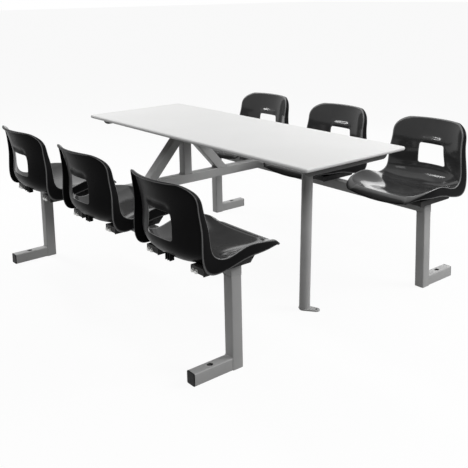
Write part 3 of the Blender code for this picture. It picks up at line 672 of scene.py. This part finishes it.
def legs(paint, cap):
    """Four L-shaped legs: an upright, a foot with its plug, and the welds that join them."""
    for name, sign in SIDES:
        for end, y in ENDS:
            spot, x = f"{name}_{end}", sign * BEAM_X
            post = bar(tube_outline(), (x, y, 0.0), (x, y, BEAM_LOW - GAP), ALONG_X)
            frame_piece(f"leg_post_{spot}", post, paint, f"leg_upright_{spot}")
            toe = foot_tube(x + sign * (TUBE / 2 + GAP), sign, y)
            frame_piece(f"leg_toe_{spot}", toe, paint, f"leg_foot_{spot}", seal=True)
            outer = x + sign * (TUBE / 2 + FOOT_REACH - CAP_HEAD)
            toe_plug = plug((outer, y, TUBE / 2), (sign, 0, 0), FOOT_WIDTH)
            add_piece(f"toe_plug_{spot}", toe_plug, cap,
                      [f"foot_end_cap_{spot}"])
            seam, half = x + sign * TUBE / 2, FOOT_WIDTH / 2 - WELD_INSET
            path = [(seam, y - half, TOE_WELD_LOW), (seam, y - half, TUBE), (seam, y + half, TUBE),
                    (seam, y + half, TOE_WELD_LOW)]
            half = TUBE / 2 - WELD_INSET
            head = square_weld((x, y, BEAM_LOW), ALONG_X, ALONG_Y, LEG_WELD, half, half)
            frame_piece(f"leg_welds_{spot}", together(bead(path, TOE_WELD, False), head), paint)


def head_plate(name, node, middle, size, paint):
    """A plate with rounded corners under the table top."""
    outline = rounded_outline(*size, PLATE_CORNER) + middle
    body = plate(outline, PLATE_LOW, PLATE_LOW + PLATE_THICKNESS, PLATE_EDGE)
    frame_piece(name, body, paint, node)


def plate_screws(name, middle, reach, screw):
    """Four screws in the corners of a plate."""
    screws = [dome_screw((middle[0] + x, middle[1] + y, PLATE_LOW), *PLATE_SCREW)
              for x in (-reach[0], reach[0]) for y in (-reach[1], reach[1])]
    frame_piece(name, together(*screws), screw)


def centre_support(paint, screw):
    """Cross beam, king post, two struts cut to meet them, and the plate under the top."""
    reach = BEAM_X - TUBE / 2 - GAP
    level = CROSS_LOW + TUBE / 2
    base = CROSS_LOW + TUBE + GAP
    beam = bar(tube_outline(), (-reach, CROSS_Y, level), (reach, CROSS_Y, level), ALONG_Y)
    frame_piece("cross_beam_tube", beam, paint, "cross_beam")
    post = bar(tube_outline(), (0, CROSS_Y, base), (0, CROSS_Y, PLATE_LOW - GAP), ALONG_X)
    frame_piece("king_post_tube", post, paint, "king_post")
    head_plate("post_plate", "post_head_plate", (0.0, CROSS_Y), POST_PLATE, paint)
    welds = [square_weld((0, CROSS_Y, base), ALONG_X, ALONG_Y, POST_WELD),
             square_weld((0, CROSS_Y, PLATE_LOW), ALONG_X, ALONG_Y, JOINT_WELD)]
    slope = math.atan((STRUT_HEAD - base) / (STRUT_BASE_X - TUBE / 2))
    width, height = STRUT / math.sin(slope), STRUT / math.cos(slope)
    for name, sign in SIDES:
        foot = (sign * STRUT_BASE_X, CROSS_Y, base)
        head = (sign * (TUBE / 2 + GAP), CROSS_Y, STRUT_HEAD)
        strut = bar(tube_outline(STRUT), foot, head, ALONG_Y, UP, ALONG_X)
        frame_piece(f"strut_tube_{name}", strut, paint, f"strut_{name}")
        welds += [square_weld(foot, ALONG_X, ALONG_Y, JOINT_WELD, width / 2, STRUT / 2),
                  square_weld(head, ALONG_Y, UP, JOINT_WELD, STRUT / 2, height / 2),
                  square_weld((sign * reach, CROSS_Y, level), ALONG_Y, UP, JOINT_WELD)]
    frame_piece("centre_welds", together(*welds), paint)
    plate_screws("post_plate_screws", (0.0, CROSS_Y), POST_PLATE_SCREWS, screw)


def prop_leg(paint, screw):
    """Leaning round leg: a tube from the floor lug to its plate under the top."""
    head_plate("prop_plate", "prop_leg_top_plate", PROP_HEAD, PROP_PLATE, paint)
    low, high = (*PROP_FOOT, LUG_THICKNESS + GAP), (*PROP_HEAD, PLATE_LOW - GAP)
    tube = bar(ring_outline(PROP_RADIUS, 56), low, high, ALONG_X, UP, UP)
    frame_piece("prop_tube", tube, paint, "prop_leg_tube")
    frame_piece("prop_lug", floor_lug(), paint, "prop_leg_floor_lug")
    ring = ring_outline(PROP_RADIUS, 48)
    foot_weld = bead(at_level(ring + PROP_FOOT, LUG_THICKNESS), LUG_WELD)
    head_weld = bead(at_level(ring + PROP_HEAD, PLATE_LOW), JOINT_WELD)
    frame_piece("prop_welds", together(foot_weld, head_weld), paint)
    plate_screws("prop_plate_screws", PROP_HEAD, PROP_PLATE_SCREWS, screw)


def floor_lug():
    """The lug: two circles joined by tangents, as rings from its hole to its edge and back."""
    circle = ring_outline(1.0, LUG_STEPS)
    tip_middle = np.array((LUG_REACH, 0.0))
    at_tip = circle[:, :1] > (PROP_RADIUS - LUG_TIP) / LUG_REACH
    outline = np.where(at_tip, circle * LUG_TIP + tip_middle, circle * PROP_RADIUS)
    hole = circle * LUG_HOLE + tip_middle
    soft = outline + LUG_EDGE * unit(0.5 * tip_middle - outline)
    rings = [(hole, 0.0), (outline, 0.0), (outline, LUG_THICKNESS - LUG_EDGE),
             (soft, LUG_THICKNESS), (hole, LUG_THICKNESS)]
    turn = LUG_TURN - math.pi / 2
    spin = np.array(((math.cos(turn), math.sin(turn)), (-math.sin(turn), math.cos(turn))))
    stack = np.array([at_level(flat @ spin + PROP_FOOT, level) for flat, level in rings])
    faces = strip_faces(len(rings) + 1, LUG_STEPS, True) % (len(rings) * LUG_STEPS)
    return stack.reshape(-1, 3), faces.tolist()


# Seats

def spline(knots, values, places, first_slope, last_slope):
    """A smooth curve through the values: cubics whose slopes make the bending continuous."""
    step = np.diff(knots)
    rise = np.diff(values, axis=0) / step[:, None]
    count = len(knots)
    matrix = np.zeros((count, count))
    right = np.zeros((count, values.shape[1]))
    matrix[0, 0] = matrix[-1, -1] = 1.0
    right[0], right[-1] = first_slope, last_slope
    inner = np.arange(1, count - 1)
    matrix[inner, inner - 1] = step[1:]
    matrix[inner, inner] = 2 * (step[:-1] + step[1:])
    matrix[inner, inner + 1] = step[:-1]
    right[inner] = 3 * (step[1:, None] * rise[:-1] + step[:-1, None] * rise[1:])
    slope = np.linalg.solve(matrix, right)
    index = np.clip(np.searchsorted(knots, places, side="right") - 1, 0, count - 2)
    width = step[index]
    t = ((places - knots[index]) / width)[..., None]
    width = width[..., None]
    return ((2 * t ** 3 - 3 * t ** 2 + 1) * values[index]
            + (t ** 3 - 2 * t ** 2 + t) * width * slope[index]
            + (3 * t ** 2 - 2 * t ** 3) * values[index + 1]
            + (t ** 3 - t ** 2) * width * slope[index + 1])


# Distance along the shell at each knot: the mean of the middle line's and the crest's.
SHELL_AT = (distances(SHELL_MIDDLE) + distances(SHELL_CREST)) / 2


def shell_lines(along):
    """Middle line, crest and skirt edge at distances along the shell.

    The slopes at both ends lead the crest and the edge round the corners without a kink.
    """
    chord = np.diff(SHELL_MIDDLE, axis=0) / np.diff(SHELL_AT)[:, None]
    starts, ends = unit(SHELL_STARTS), unit(SHELL_ENDS)
    middle = spline(SHELL_AT, SHELL_MIDDLE, along, chord[0], chord[-1])
    crest = spline(SHELL_AT, SHELL_CREST, along, starts[0], ends[0])
    edge = spline(SHELL_AT, SHELL_EDGE, along, starts[1], ends[1])
    return middle, crest, edge


def share_between(along, first, last):
    """Share of the way from one knot to another, from 0 to 1."""
    return np.clip((along - SHELL_AT[first]) / (SHELL_AT[last] - SHELL_AT[first]), 0.0, 1.0)


def shell_face(along, across):
    """The seat face: each row runs from the middle line to the crest as a power of the way across.

    A rounded ridge lies above the handle hole, and the upper edge is slightly crowned.
    """
    middle, crest, _ = shell_lines(along)
    share = share_between(along, BACK_KNOT, PAN_KNOT)
    power = BACK_BOW + (SEAT_BOW - BACK_BOW) * share ** 2 * (3 - 2 * share)
    bow = np.abs(across) ** power
    crown = CROWN * (1 - across ** 4) * np.clip(1 - along / CROWN_LENGTH, 0.0, 1.0) ** 2
    forward = middle[..., 0] + (crest[..., 0] - middle[..., 0]) * bow
    side = crest[..., 1] * across
    height = middle[..., 1] + (crest[..., 2] - middle[..., 1]) * bow
    above = (height - HOLE_TOP - RIDGE_ABOVE_HOLE) / RIDGE_WIDTH
    ridge = RIDGE * np.exp(-above ** 2 - (side / RIDGE_HALF) ** 6)
    ridge = np.where(along < SHELL_AT[FOOT_KNOT], ridge, 0.0)
    return np.stack([forward + ridge, side, height + crown], -1)


def hole_outline(counts):
    """The handle hole in (along, across): a trapezium with rounded corners, from corner to corner.

    It is drawn by side and height, and halving steps then find where the face has that height.
    """
    grow = SHELL_WALL / 2
    top, bottom = HOLE_TOP + grow, HOLE_BOTTOM - grow
    top_half, bottom_half = HOLE_TOP_HALF + grow, HOLE_BOTTOM_HALF + grow
    corners = np.array(((-top_half, top), (top_half, top), (bottom_half, bottom),
                        (-bottom_half, bottom)))
    radius = HOLE_CORNER + grow
    middles = corners + np.array(((1, -1), (-1, -1), (-1, 1), (1, 1))) * radius
    starts = np.radians((135.0, 45.0, -45.0, -135.0))
    arc = np.linspace(0.0, math.pi / 4, 20)
    sides = []
    for k, count in enumerate(counts):
        leave = middles[k] + radius * on_circle(starts[k] - arc)
        arrive = middles[(k + 1) % 4] + radius * on_circle(starts[k] - math.pi / 4 - arc)
        line = np.concatenate([leave, arrive])
        length = distances(line)
        share = np.linspace(0.0, 1.0, count, endpoint=False)
        share = HOLE_EVEN * share + (1 - HOLE_EVEN) * 0.5 * (1 - np.cos(math.pi * share))
        places = share * length[-1]
        sides.append(np.stack([np.interp(places, length, line[:, j]) for j in range(2)], -1))
    side, height = np.concatenate(sides).T
    low, high = (np.full(len(side), SHELL_AT[knot]) for knot in (TOP_KNOT, BEND_KNOT))
    for _ in range(HALVINGS):
        half = (low + high) / 2
        above = shell_face(half, side / shell_lines(half)[1][:, 1])[:, 2] > height
        low, high = np.where(above, half, low), np.where(above, high, half)
    return np.stack([low, side / shell_lines(low)[1][:, 1]], -1)


def smooth_round(vectors, times):
    """Each vector of a closed ring drawn halfway to the mean of its neighbours, so many times."""
    for _ in range(times):
        beside = np.roll(vectors, 1, axis=0) + np.roll(vectors, -1, axis=0)
        vectors = 0.5 * vectors + 0.25 * beside
    return vectors


def rim_order(rows, columns):
    """Row and column of the grid's border points, once round."""
    r = np.concatenate([np.zeros(columns), np.arange(1, rows - 1), np.full(columns, rows - 1),
                        np.arange(rows - 2, 0, -1)]).astype(int)
    c = np.concatenate([np.arange(columns), np.full(rows - 2, columns - 1),
                        np.arange(columns - 1, -1, -1), np.zeros(rows - 2)]).astype(int)
    return r, c


def skirt_edge(along, across):
    """The skirt's free edge, once round: bowed at top and front, by the knots at the sides."""
    side = shell_lines(along)[2]
    bow = (np.abs(across) ** BACK_BOW)[:, None]
    ends = []
    for middle, corner in ((TOP_EDGE_MIDDLE, side[0]), (FRONT_EDGE_MIDDLE, side[-1])):
        row = middle + (corner - middle) * bow
        row[:, 1] = corner[1] * across
        ends.append(row)
    mirror = side[1:-1] * (1, -1, 1)
    return np.concatenate([ends[0], side[1:-1], ends[1][::-1], mirror[::-1]])


def rim_rings(grid, along, across):
    """Rings that roll the rim over a quarter circle and run down the skirt in a slight curve."""
    rows, columns = grid.shape[:2]
    r, c = rim_order(rows, columns)
    crest = grid[r, c]
    inside = grid[np.clip(r, 1, rows - 2), np.clip(c, 1, columns - 2)]
    normal = np.cross(*np.gradient(grid, axis=(0, 1)))[r, c]
    onward = np.roll(crest, -1, axis=0) - np.roll(crest, 1, axis=0)
    outward = np.cross(unit(onward), unit(smooth_round(unit(normal), RIM_SMOOTHING)))
    outward *= np.sign((outward * (crest - inside)).sum())
    outward = unit(smooth_round(unit(outward), RIM_SMOOTHING))
    share = share_between(along[r], CORNER_KNOT, LAST_KNOT)
    radius = SIDE_ROLL + (CORNER_ROLL - SIDE_ROLL) * share
    front = FRONT_ROLL + (CORNER_ROLL - FRONT_ROLL) * np.abs(across[c]) ** BACK_BOW
    radius = smooth_round(np.where(r == rows - 1, front, radius)[:, None], RIM_SMOOTHING)
    edge = skirt_edge(along, across)
    down = unit(smooth_round(edge - crest - radius * outward, SKIRT_SMOOTHING))
    turn = quarter(ROLL_STEPS + 1)[1:, None, None]
    rolled = crest + radius * (outward * np.sin(turn) + down * (1 - np.cos(turn)))
    run = np.linspace(0.0, 1.0, SKIRT_STEPS + 1)[1:, None, None]
    bulge = SKIRT_BULGE * np.sin(math.pi * run) * outward
    skirt = rolled[-1] + (edge - rolled[-1]) * run + bulge
    return r * columns + c, np.concatenate([rolled, skirt])


def sheet_normals(points, faces):
    """Mean direction of the faces round each point; a point without faces looks up."""
    corner = points[faces]
    normal = np.cross(corner[:, 2] - corner[:, 0], corner[:, 3] - corner[:, 1])
    added = np.zeros_like(points)
    for k in range(4):
        np.add.at(added, faces[:, k], normal)
    loose = ~np.any(added, axis=1, keepdims=True)
    return unit(added + loose * np.array(UP))


def ring_strip(first, second, flip):
    """Quads between two rings of point numbers."""
    quads = np.stack([first, np.roll(first, -1), np.roll(second, -1), second], -1)
    return quads[:, ::-1] if flip else quads


def grow_rings(points, faces, first, rings, flip=False):
    """Add rings, each joined to the one before it by quads; returns the last one's numbers."""
    start = sum(len(part) for part in points)
    for ring in rings:
        numbers = start + np.arange(len(ring))
        faces.append(ring_strip(first, numbers, flip))
        points.append(ring)
        start += len(ring)
        first = numbers
    return first


def face_sheet(along, across):
    """The seat face as a grid, its cells, and rings from a window in it to the handle hole.

    The window is a rectangle of cells. Each ring is a blend of the window's border and the hole's
    outline, taken in (along, across).
    """
    grid = shell_face(*np.broadcast_arrays(along[:, None], across))
    rows, columns = grid.shape[:2]
    number = np.arange(rows * columns).reshape(rows, columns)
    back = shell_lines(along[:BACK_ROWS])[0][:, 1]
    r0 = int(np.argmin(np.abs(back - HOLE_TOP - WINDOW_ABOVE)))
    r1 = int(np.argmin(np.abs(back - HOLE_BOTTOM + WINDOW_BELOW)))
    c0 = int(np.argmin(np.abs(across + WINDOW_HALF)))
    c1 = columns - 1 - c0
    cells = np.stack([number[:-1, :-1], number[1:, :-1], number[1:, 1:], number[:-1, 1:]], -1)
    keep = np.ones(cells.shape[:2], dtype=bool)
    keep[r0:r1, c0:c1] = False
    window = np.concatenate([number[r0, c0:c1], number[r0:r1, c1], number[r1, c1:c0:-1],
                             number[r1:r0:-1, c0]])
    spot = np.stack([along[window // columns], across[window % columns]], -1)
    hole = hole_outline((c1 - c0, r1 - r0, c1 - c0, r1 - r0))
    blend = np.linspace(0.0, 1.0, WINDOW_RINGS + 1)[1:, None, None]
    rings = spot * (1 - blend) + hole * blend
    return grid, cells[keep], window, shell_face(rings[..., 0], rings[..., 1])


def wear_and_light_shares(along, across, rim, rim_start, count):
    """How pale each point is, from 0 to 1: on the seat face partly wear and partly painted light,
    at the rim partly wear and partly painted highlight.

    The face share falls to nothing over the rolled rim. The rim share follows a painted highlight
    line inside the front edge, and over the roll it passes from the sides' row of shares to the
    front's.
    """
    worn_lit_face_share, rim_wear_and_highlight = np.zeros(count), np.zeros(count)
    # The face share paints light on the face side, partly also as wear; the other side keeps the
    # darker colour as painted shade.
    worn_lit_face_share[:rim_start] = 1.0
    rolled = slice(rim_start, rim_start + ROLL_STEPS * len(rim))
    worn_lit_face_share[rolled] = np.repeat(np.linspace(1.0, 0.0, ROLL_STEPS + 1)[1:], len(rim))
    # Painted highlight: a pale line a little inside the front edge.
    away = (SHELL_AT[-1] - along - FRONT_LINE) / FRONT_LINE_WIDTH
    line = FRONT_LINE_HIGHLIGHT * np.exp(-away ** 2)[:, None] * (1 - across ** 12)
    rim_wear_and_highlight[:line.size] = line.reshape(-1)
    # Painted highlight, partly also wear: the crest, and over the roll the rows of shares for the
    # sides and the front.
    rim_wear_and_highlight[rim] = CREST_WEAR_AND_HIGHLIGHT
    front = share_between(along[rim // len(across)], CORNER_KNOT, LAST_KNOT)
    worn = SIDE_WEAR_AND_HIGHLIGHT[:, None] + (FRONT_WEAR_AND_HIGHLIGHT - SIDE_WEAR_AND_HIGHLIGHT)[:, None] * front
    rim_wear_and_highlight[rolled] = worn.reshape(-1)
    return worn_lit_face_share, rim_wear_and_highlight


def shell_body():
    """The moulded seat: its face with the handle hole, rolled rim and skirt, and its other side.

    Rows lie closer at the upper and front edges, columns closer at the sides. The other side lies
    one wall thickness below, and half circles close the free edges.
    """
    step = np.linspace(0.0, 1.0, FACE_ROWS)
    along = SHELL_AT[-1] * (step - 0.5 * np.sin(2 * math.pi * step) / (2 * math.pi))
    across = np.sin(np.linspace(-1.0, 1.0, FACE_COLUMNS) * SIDE_CROWDING) / math.sin(SIDE_CROWDING)
    grid, cells, window, rings = face_sheet(along, across)
    points, faces = [grid.reshape(-1, 3)], [cells]
    hole_ring = grow_rings(points, faces, window, rings, True)
    rim_start = sum(len(part) for part in points)
    rim, loops = rim_rings(grid, along, across)
    edge_ring = grow_rings(points, faces, rim, loops)
    points, faces = np.concatenate(points), np.concatenate(faces)
    normals = sheet_normals(points, faces)
    count = len(points)
    worn_lit_face_share, rim_wear_and_highlight = wear_and_light_shares(along, across, rim, rim_start, count)
    # Painted highlight, partly also wear: the free edge and the hole's edge are made pale.
    rim_wear_and_highlight[edge_ring], rim_wear_and_highlight[hole_ring] = EDGE_WEAR_AND_HIGHLIGHT, HOLE_WEAR_AND_HIGHLIGHT
    solid, quads = [points, points - SHELL_WALL * normals], [faces, faces[:, ::-1] + count]
    for ring, flip in ((edge_ring, False), (hole_ring, True)):
        over = normals[ring]
        ahead = unit(points[ring] - points[ring - len(ring)])
        middle = points[ring] - SHELL_WALL / 2 * over
        lip = [middle + SHELL_WALL / 2 * (math.cos(angle) * over + math.sin(angle) * ahead)
               for angle in LIP_ANGLES]
        last = grow_rings(solid, quads, ring, lip, flip)
        quads.append(ring_strip(last, ring + count, flip))
    solid, quads = np.concatenate(solid), np.concatenate(quads)
    # Painted shade: the skirt and the other side take the second plastic, a rougher copy whose
    # gloss is cut almost to nothing.
    dull = np.any(quads >= rim_start + GLOSSY_ROLL_STEPS * len(rim), axis=1)
    rest = len(solid) - count
    # Painted highlight, partly also wear: the lips round the free edge and the hole are pale; the
    # other side of the sheet gets none.
    rim_wear_and_highlight = np.concatenate([rim_wear_and_highlight, np.zeros(count), np.full(rest - count, LIP_WEAR_AND_HIGHLIGHT)])
    worn_lit_face_share = np.concatenate([worn_lit_face_share, np.zeros(rest)])
    used = np.unique(quads)
    place = np.zeros(len(solid), dtype=int)
    place[used] = np.arange(len(used))
    shares = {"rim": rim_wear_and_highlight[used], "face": worn_lit_face_share[used]}
    return (solid[used], place[quads].tolist()), shares, dull


def under_ribs():
    """Moulded pads on the brackets and ribs under the bend, their tops inside the shell's wall.

    A pad's top is a patch of the seat face, and a rib is a thin strip below the middle line.
    """
    along = np.linspace(SHELL_AT[FOOT_KNOT], SHELL_AT[-1], 400)
    line = shell_lines(along)[0]
    slope = np.gradient(line, axis=0)
    under = line - SUNK * unit(np.stack([-slope[:, 1], slope[:, 0]], -1))
    rear = int(np.argmin(line[:, 0]))
    bodies = []
    for forward in PADS_AT:
        places = forward + np.linspace(-PAD_HALF_LENGTH, PAD_HALF_LENGTH, 7)
        rows = np.interp(places, line[rear:, 0], along[rear:])
        width = shell_lines(rows)[1][:, 1:2]
        for side in (-1, 1):
            y = np.linspace(-PAD_HALF_WIDTH, PAD_HALF_WIDTH, 13)
            y = side * (BRACKET_INNER + BRACKET_WIDTH / 2) + y
            top = shell_face(*np.broadcast_arrays(rows[:, None], y / width)) - (0.0, 0.0, SUNK)
            foot = top * (1.0, 1.0, 0.0) + (0.0, 0.0, GAP)
            bodies.append(loft(np.concatenate([top, foot[:, ::-1]], axis=1)))
    bend = (line[:, 0] > RIB_REAR) & (line[:, 0] < RIB_FRONT) & (along < SHELL_AT[PAN_KNOT])
    forward, high = under[bend, :1], under[bend, 1:]
    for y in RIBS_AT:
        side = y + RIB_HALF * np.array((-1, 1, 1, -1))
        height = np.where((True, True, False, False), high, RIB_LOW)
        bodies.append(loft(np.stack(np.broadcast_arrays(forward, side, height), -1)))
    return together(*bodies)


def channel():
    """A folded channel with rounded folds: a plate closes one end, the other slopes to the beam."""
    half, high, wall = BRACKET_WIDTH / 2, BRACKET_HEIGHT, BRACKET_WALL
    fold = np.array((half - FOLD_OUTER, high - FOLD_OUTER))
    outside = np.concatenate([[(half, 0.0)], fold + FOLD_OUTER * on_circle(quarter(7))])
    inside = np.concatenate([[(half - wall, 0.0)], fold + FOLD_INNER * on_circle(quarter(7))])
    section = np.concatenate([outside, outside[::-1] * (-1, 1), inside * (-1, 1), inside[::-1]])
    slope = BRACKET_CHAMFER / high
    rear = np.column_stack([np.zeros(len(section)), section])
    front = np.column_stack([BRACKET_LENGTH - slope * (high - section[:, 1]), section])
    end = rounded_outline(END_SHEET, BRACKET_WIDTH - 2 * (wall + END_CLEAR), END_CORNER, 3)
    end_plate = plate(end + (END_MIDDLE, 0.0), END_LOW, high - wall - END_CLEAR, END_EDGE)
    return together(loft([rear, front]), end_plate)


def bracket_bolts(in_end):
    """A cross bolt through a bracket's far wall and, where asked, two bolts in its closed end."""
    wall, x, z = BRACKET_WIDTH / 2, CROSS_BOLT_X, CROSS_BOLT_Z
    fixing = [turned(WASHER, (x, wall, z), ALONG_Y),
              hex_nut((x, wall + WASHER_HEIGHT, z), ALONG_Y, CROSS_NUT_HEIGHT),
              turned(BOLT_SHANK, (x, wall, z), ALONG_Y)]
    for y in END_BOLTS_Y if in_end else ():
        fixing += [turned(WASHER, (END_BOLT_X, y, END_BOLT_Z), (-1, 0, 0)),
                   hex_nut((END_BOLT_X - WASHER_HEIGHT, y, END_BOLT_Z), (-1, 0, 0), END_NUT_HEIGHT)]
    return together(*fixing)


def seats(plastic, paint, bolt):
    """Six moulded seats, each on two folded brackets across its beam.

    The brackets of the left row show their closed, bolted ends to the outside.
    """
    shell, shares, dull = shell_body()
    pads, bracket = under_ribs(), channel()
    plain = {key: np.zeros(len(pads[0])) for key in shares}
    for name, sign in SIDES:
        bolts = bracket_bolts(name == "left")
        for spot, step in PLACES:
            y = TABLE_Y + step * SEAT_PITCH
            turn, origin = np.array((-sign, -sign, 1.0)), (sign * BEAM_X, y, SEAT_LEVEL)
            add_piece(f"moulded_seat_{name}_{spot}", moved(shell, origin, turn), plastic,
                      [f"seat_shell_{name}_{spot}"], SEAT_SHARP, shares,
                      dull)
            add_piece(f"seat_pads_{name}_{spot}", moved(pads, origin, turn), plastic[1],
                      values=plain)
            for number, side in ((1, -1), (2, 1)):
                middle = y + side * (BRACKET_INNER + BRACKET_WIDTH / 2)
                corner = (sign * BEAM_X + BRACKET_REAR[name], middle, BEAM_TOP + GAP)
                add_piece(f"seat_channel_{name}_{spot}_{number}", moved(bracket, corner), paint,
                          [f"seat_bracket_{name}_{spot}_{number}"])
                frame_piece(f"bracket_bolt_{name}_{spot}_{number}", moved(bolts, corner), bolt)


# Room

def floor():
    """Wide pale floor that looks white directly and in reflections, and keeps a soft shadow."""
    mesh = bpy.data.meshes.new("floor")
    corners = FLOOR_HALF * np.array(((-1, -1, 0), (1, -1, 0), (1, 1, 0), (-1, 1, 0)))
    mesh.from_pydata(corners.tolist(), [], [(0, 1, 2, 3)])
    item = bpy.data.objects.new("floor", mesh)
    bpy.context.scene.collection.objects.link(item)
    finish = new_finish("pale_floor")
    seen = finish.seen_directly()
    colour = finish.tint(seen, (FLOOR_AS_LIGHT,) * 3, (1.0, 1.0, 1.0))
    mesh.materials.append(finish.done(colour, 0.9, 0.0))
    glow = finish.node("ShaderNodeEmission", {"Strength": 1.0})
    blend = finish.node("ShaderNodeMixShader", {
        "Fac": finish.spread(seen, 0.0, 1.0, 0.0, FLOOR_GLOW),
        1: finish.nodes["Principled BSDF"].outputs["BSDF"], 2: glow.outputs["Emission"]})
    finish.feed(finish.nodes["Material Output"].inputs["Surface"], blend.outputs["Shader"])


def surroundings():
    """White room: full strength where it is seen, dimmer as light on the object."""
    world = bpy.data.worlds.new("white_room")
    bpy.context.scene.world = world
    finish = Finish(world)
    back = finish.nodes["Background"]
    finish.feed(back.inputs["Color"], (1.0, 1.0, 1.0, 1.0))
    strength = finish.spread(finish.seen_directly(), 0.0, 1.0, ROOM_AS_LIGHT, 1.0)
    finish.feed(back.inputs["Strength"], strength)


def set_up(name, data, columns):
    """Put a lamp or the camera into the scene: its right, up and back directions and its place."""
    item = bpy.data.objects.new(name, data)
    item.matrix_world = Matrix([*np.column_stack(columns).tolist(), [0.0, 0.0, 0.0, 1.0]])
    bpy.context.scene.collection.objects.link(item)
    return item


def softbox(name, place, target, size, power):
    """A rectangular studio lamp that looks at a point."""
    lamp = bpy.data.lights.new(name, "AREA")
    lamp.shape = "RECTANGLE"
    lamp.size, lamp.size_y = size
    lamp.energy = power
    back = unit(np.array(place, dtype=float) - np.array(target, dtype=float))
    side = np.array((1.0, 0.0, 0.0))
    if abs(back[2]) < 0.99:
        side = unit(np.cross(UP, back))
    set_up(name, lamp, [side, np.cross(back, side), back, place])


def camera():
    """Camera of the photograph: place, heading, dip and roll, with a shifted lens."""
    sin, cos = math.sin, math.cos
    heading, dip, roll = CAMERA_HEADING, CAMERA_DIP, CAMERA_ROLL
    ahead = np.array((sin(heading) * cos(dip), cos(heading) * cos(dip), -sin(dip)))
    side = np.array((cos(heading), -sin(heading), 0.0))
    over = np.cross(side, ahead)
    right = side * cos(roll) + over * sin(roll)
    up = over * cos(roll) - side * sin(roll)
    data = bpy.data.cameras.new("camera")
    data.sensor_width = SENSOR
    data.lens = SENSOR * FOCAL_PIXELS / PICTURE_PIXELS
    data.shift_x, data.shift_y = LENS_SHIFT
    data.clip_end = 300.0
    bpy.context.scene.camera = set_up("camera", data, [right, up, -ahead, CAMERA_PLACE])


def main():
    """Dress the unit, light it and set the camera."""
    paint, cap, screw = frame_paint(), cap_plastic(), zinc()
    table_top([laminate(), edge_band(), backing()])
    bearers(sheet_paint("grey_bearer_paint", 0.175, 0.215), screw)
    seat_beams(paint)
    legs(paint, cap)
    centre_support(paint, screw)
    prop_leg(paint, screw)
    # The second plastic is the same colour but rougher, and its gloss is set so low that it paints
    # shade on the skirts, the other side and the pads.
    plastic = [seat_plastic("glossy_seat_plastic", 0.24, 0.09, 0.14),
               seat_plastic("dull_shaded_seat_plastic", 0.03, 0.26, 0.36)]
    seats(plastic, sheet_paint("dark_bracket_paint", 0.034, 0.050), screw)
    floor()
    surroundings()
    for lamp in LAMPS:
        softbox(*lamp)
    camera()
    bpy.context.scene.view_settings.view_transform = "Standard"


main()
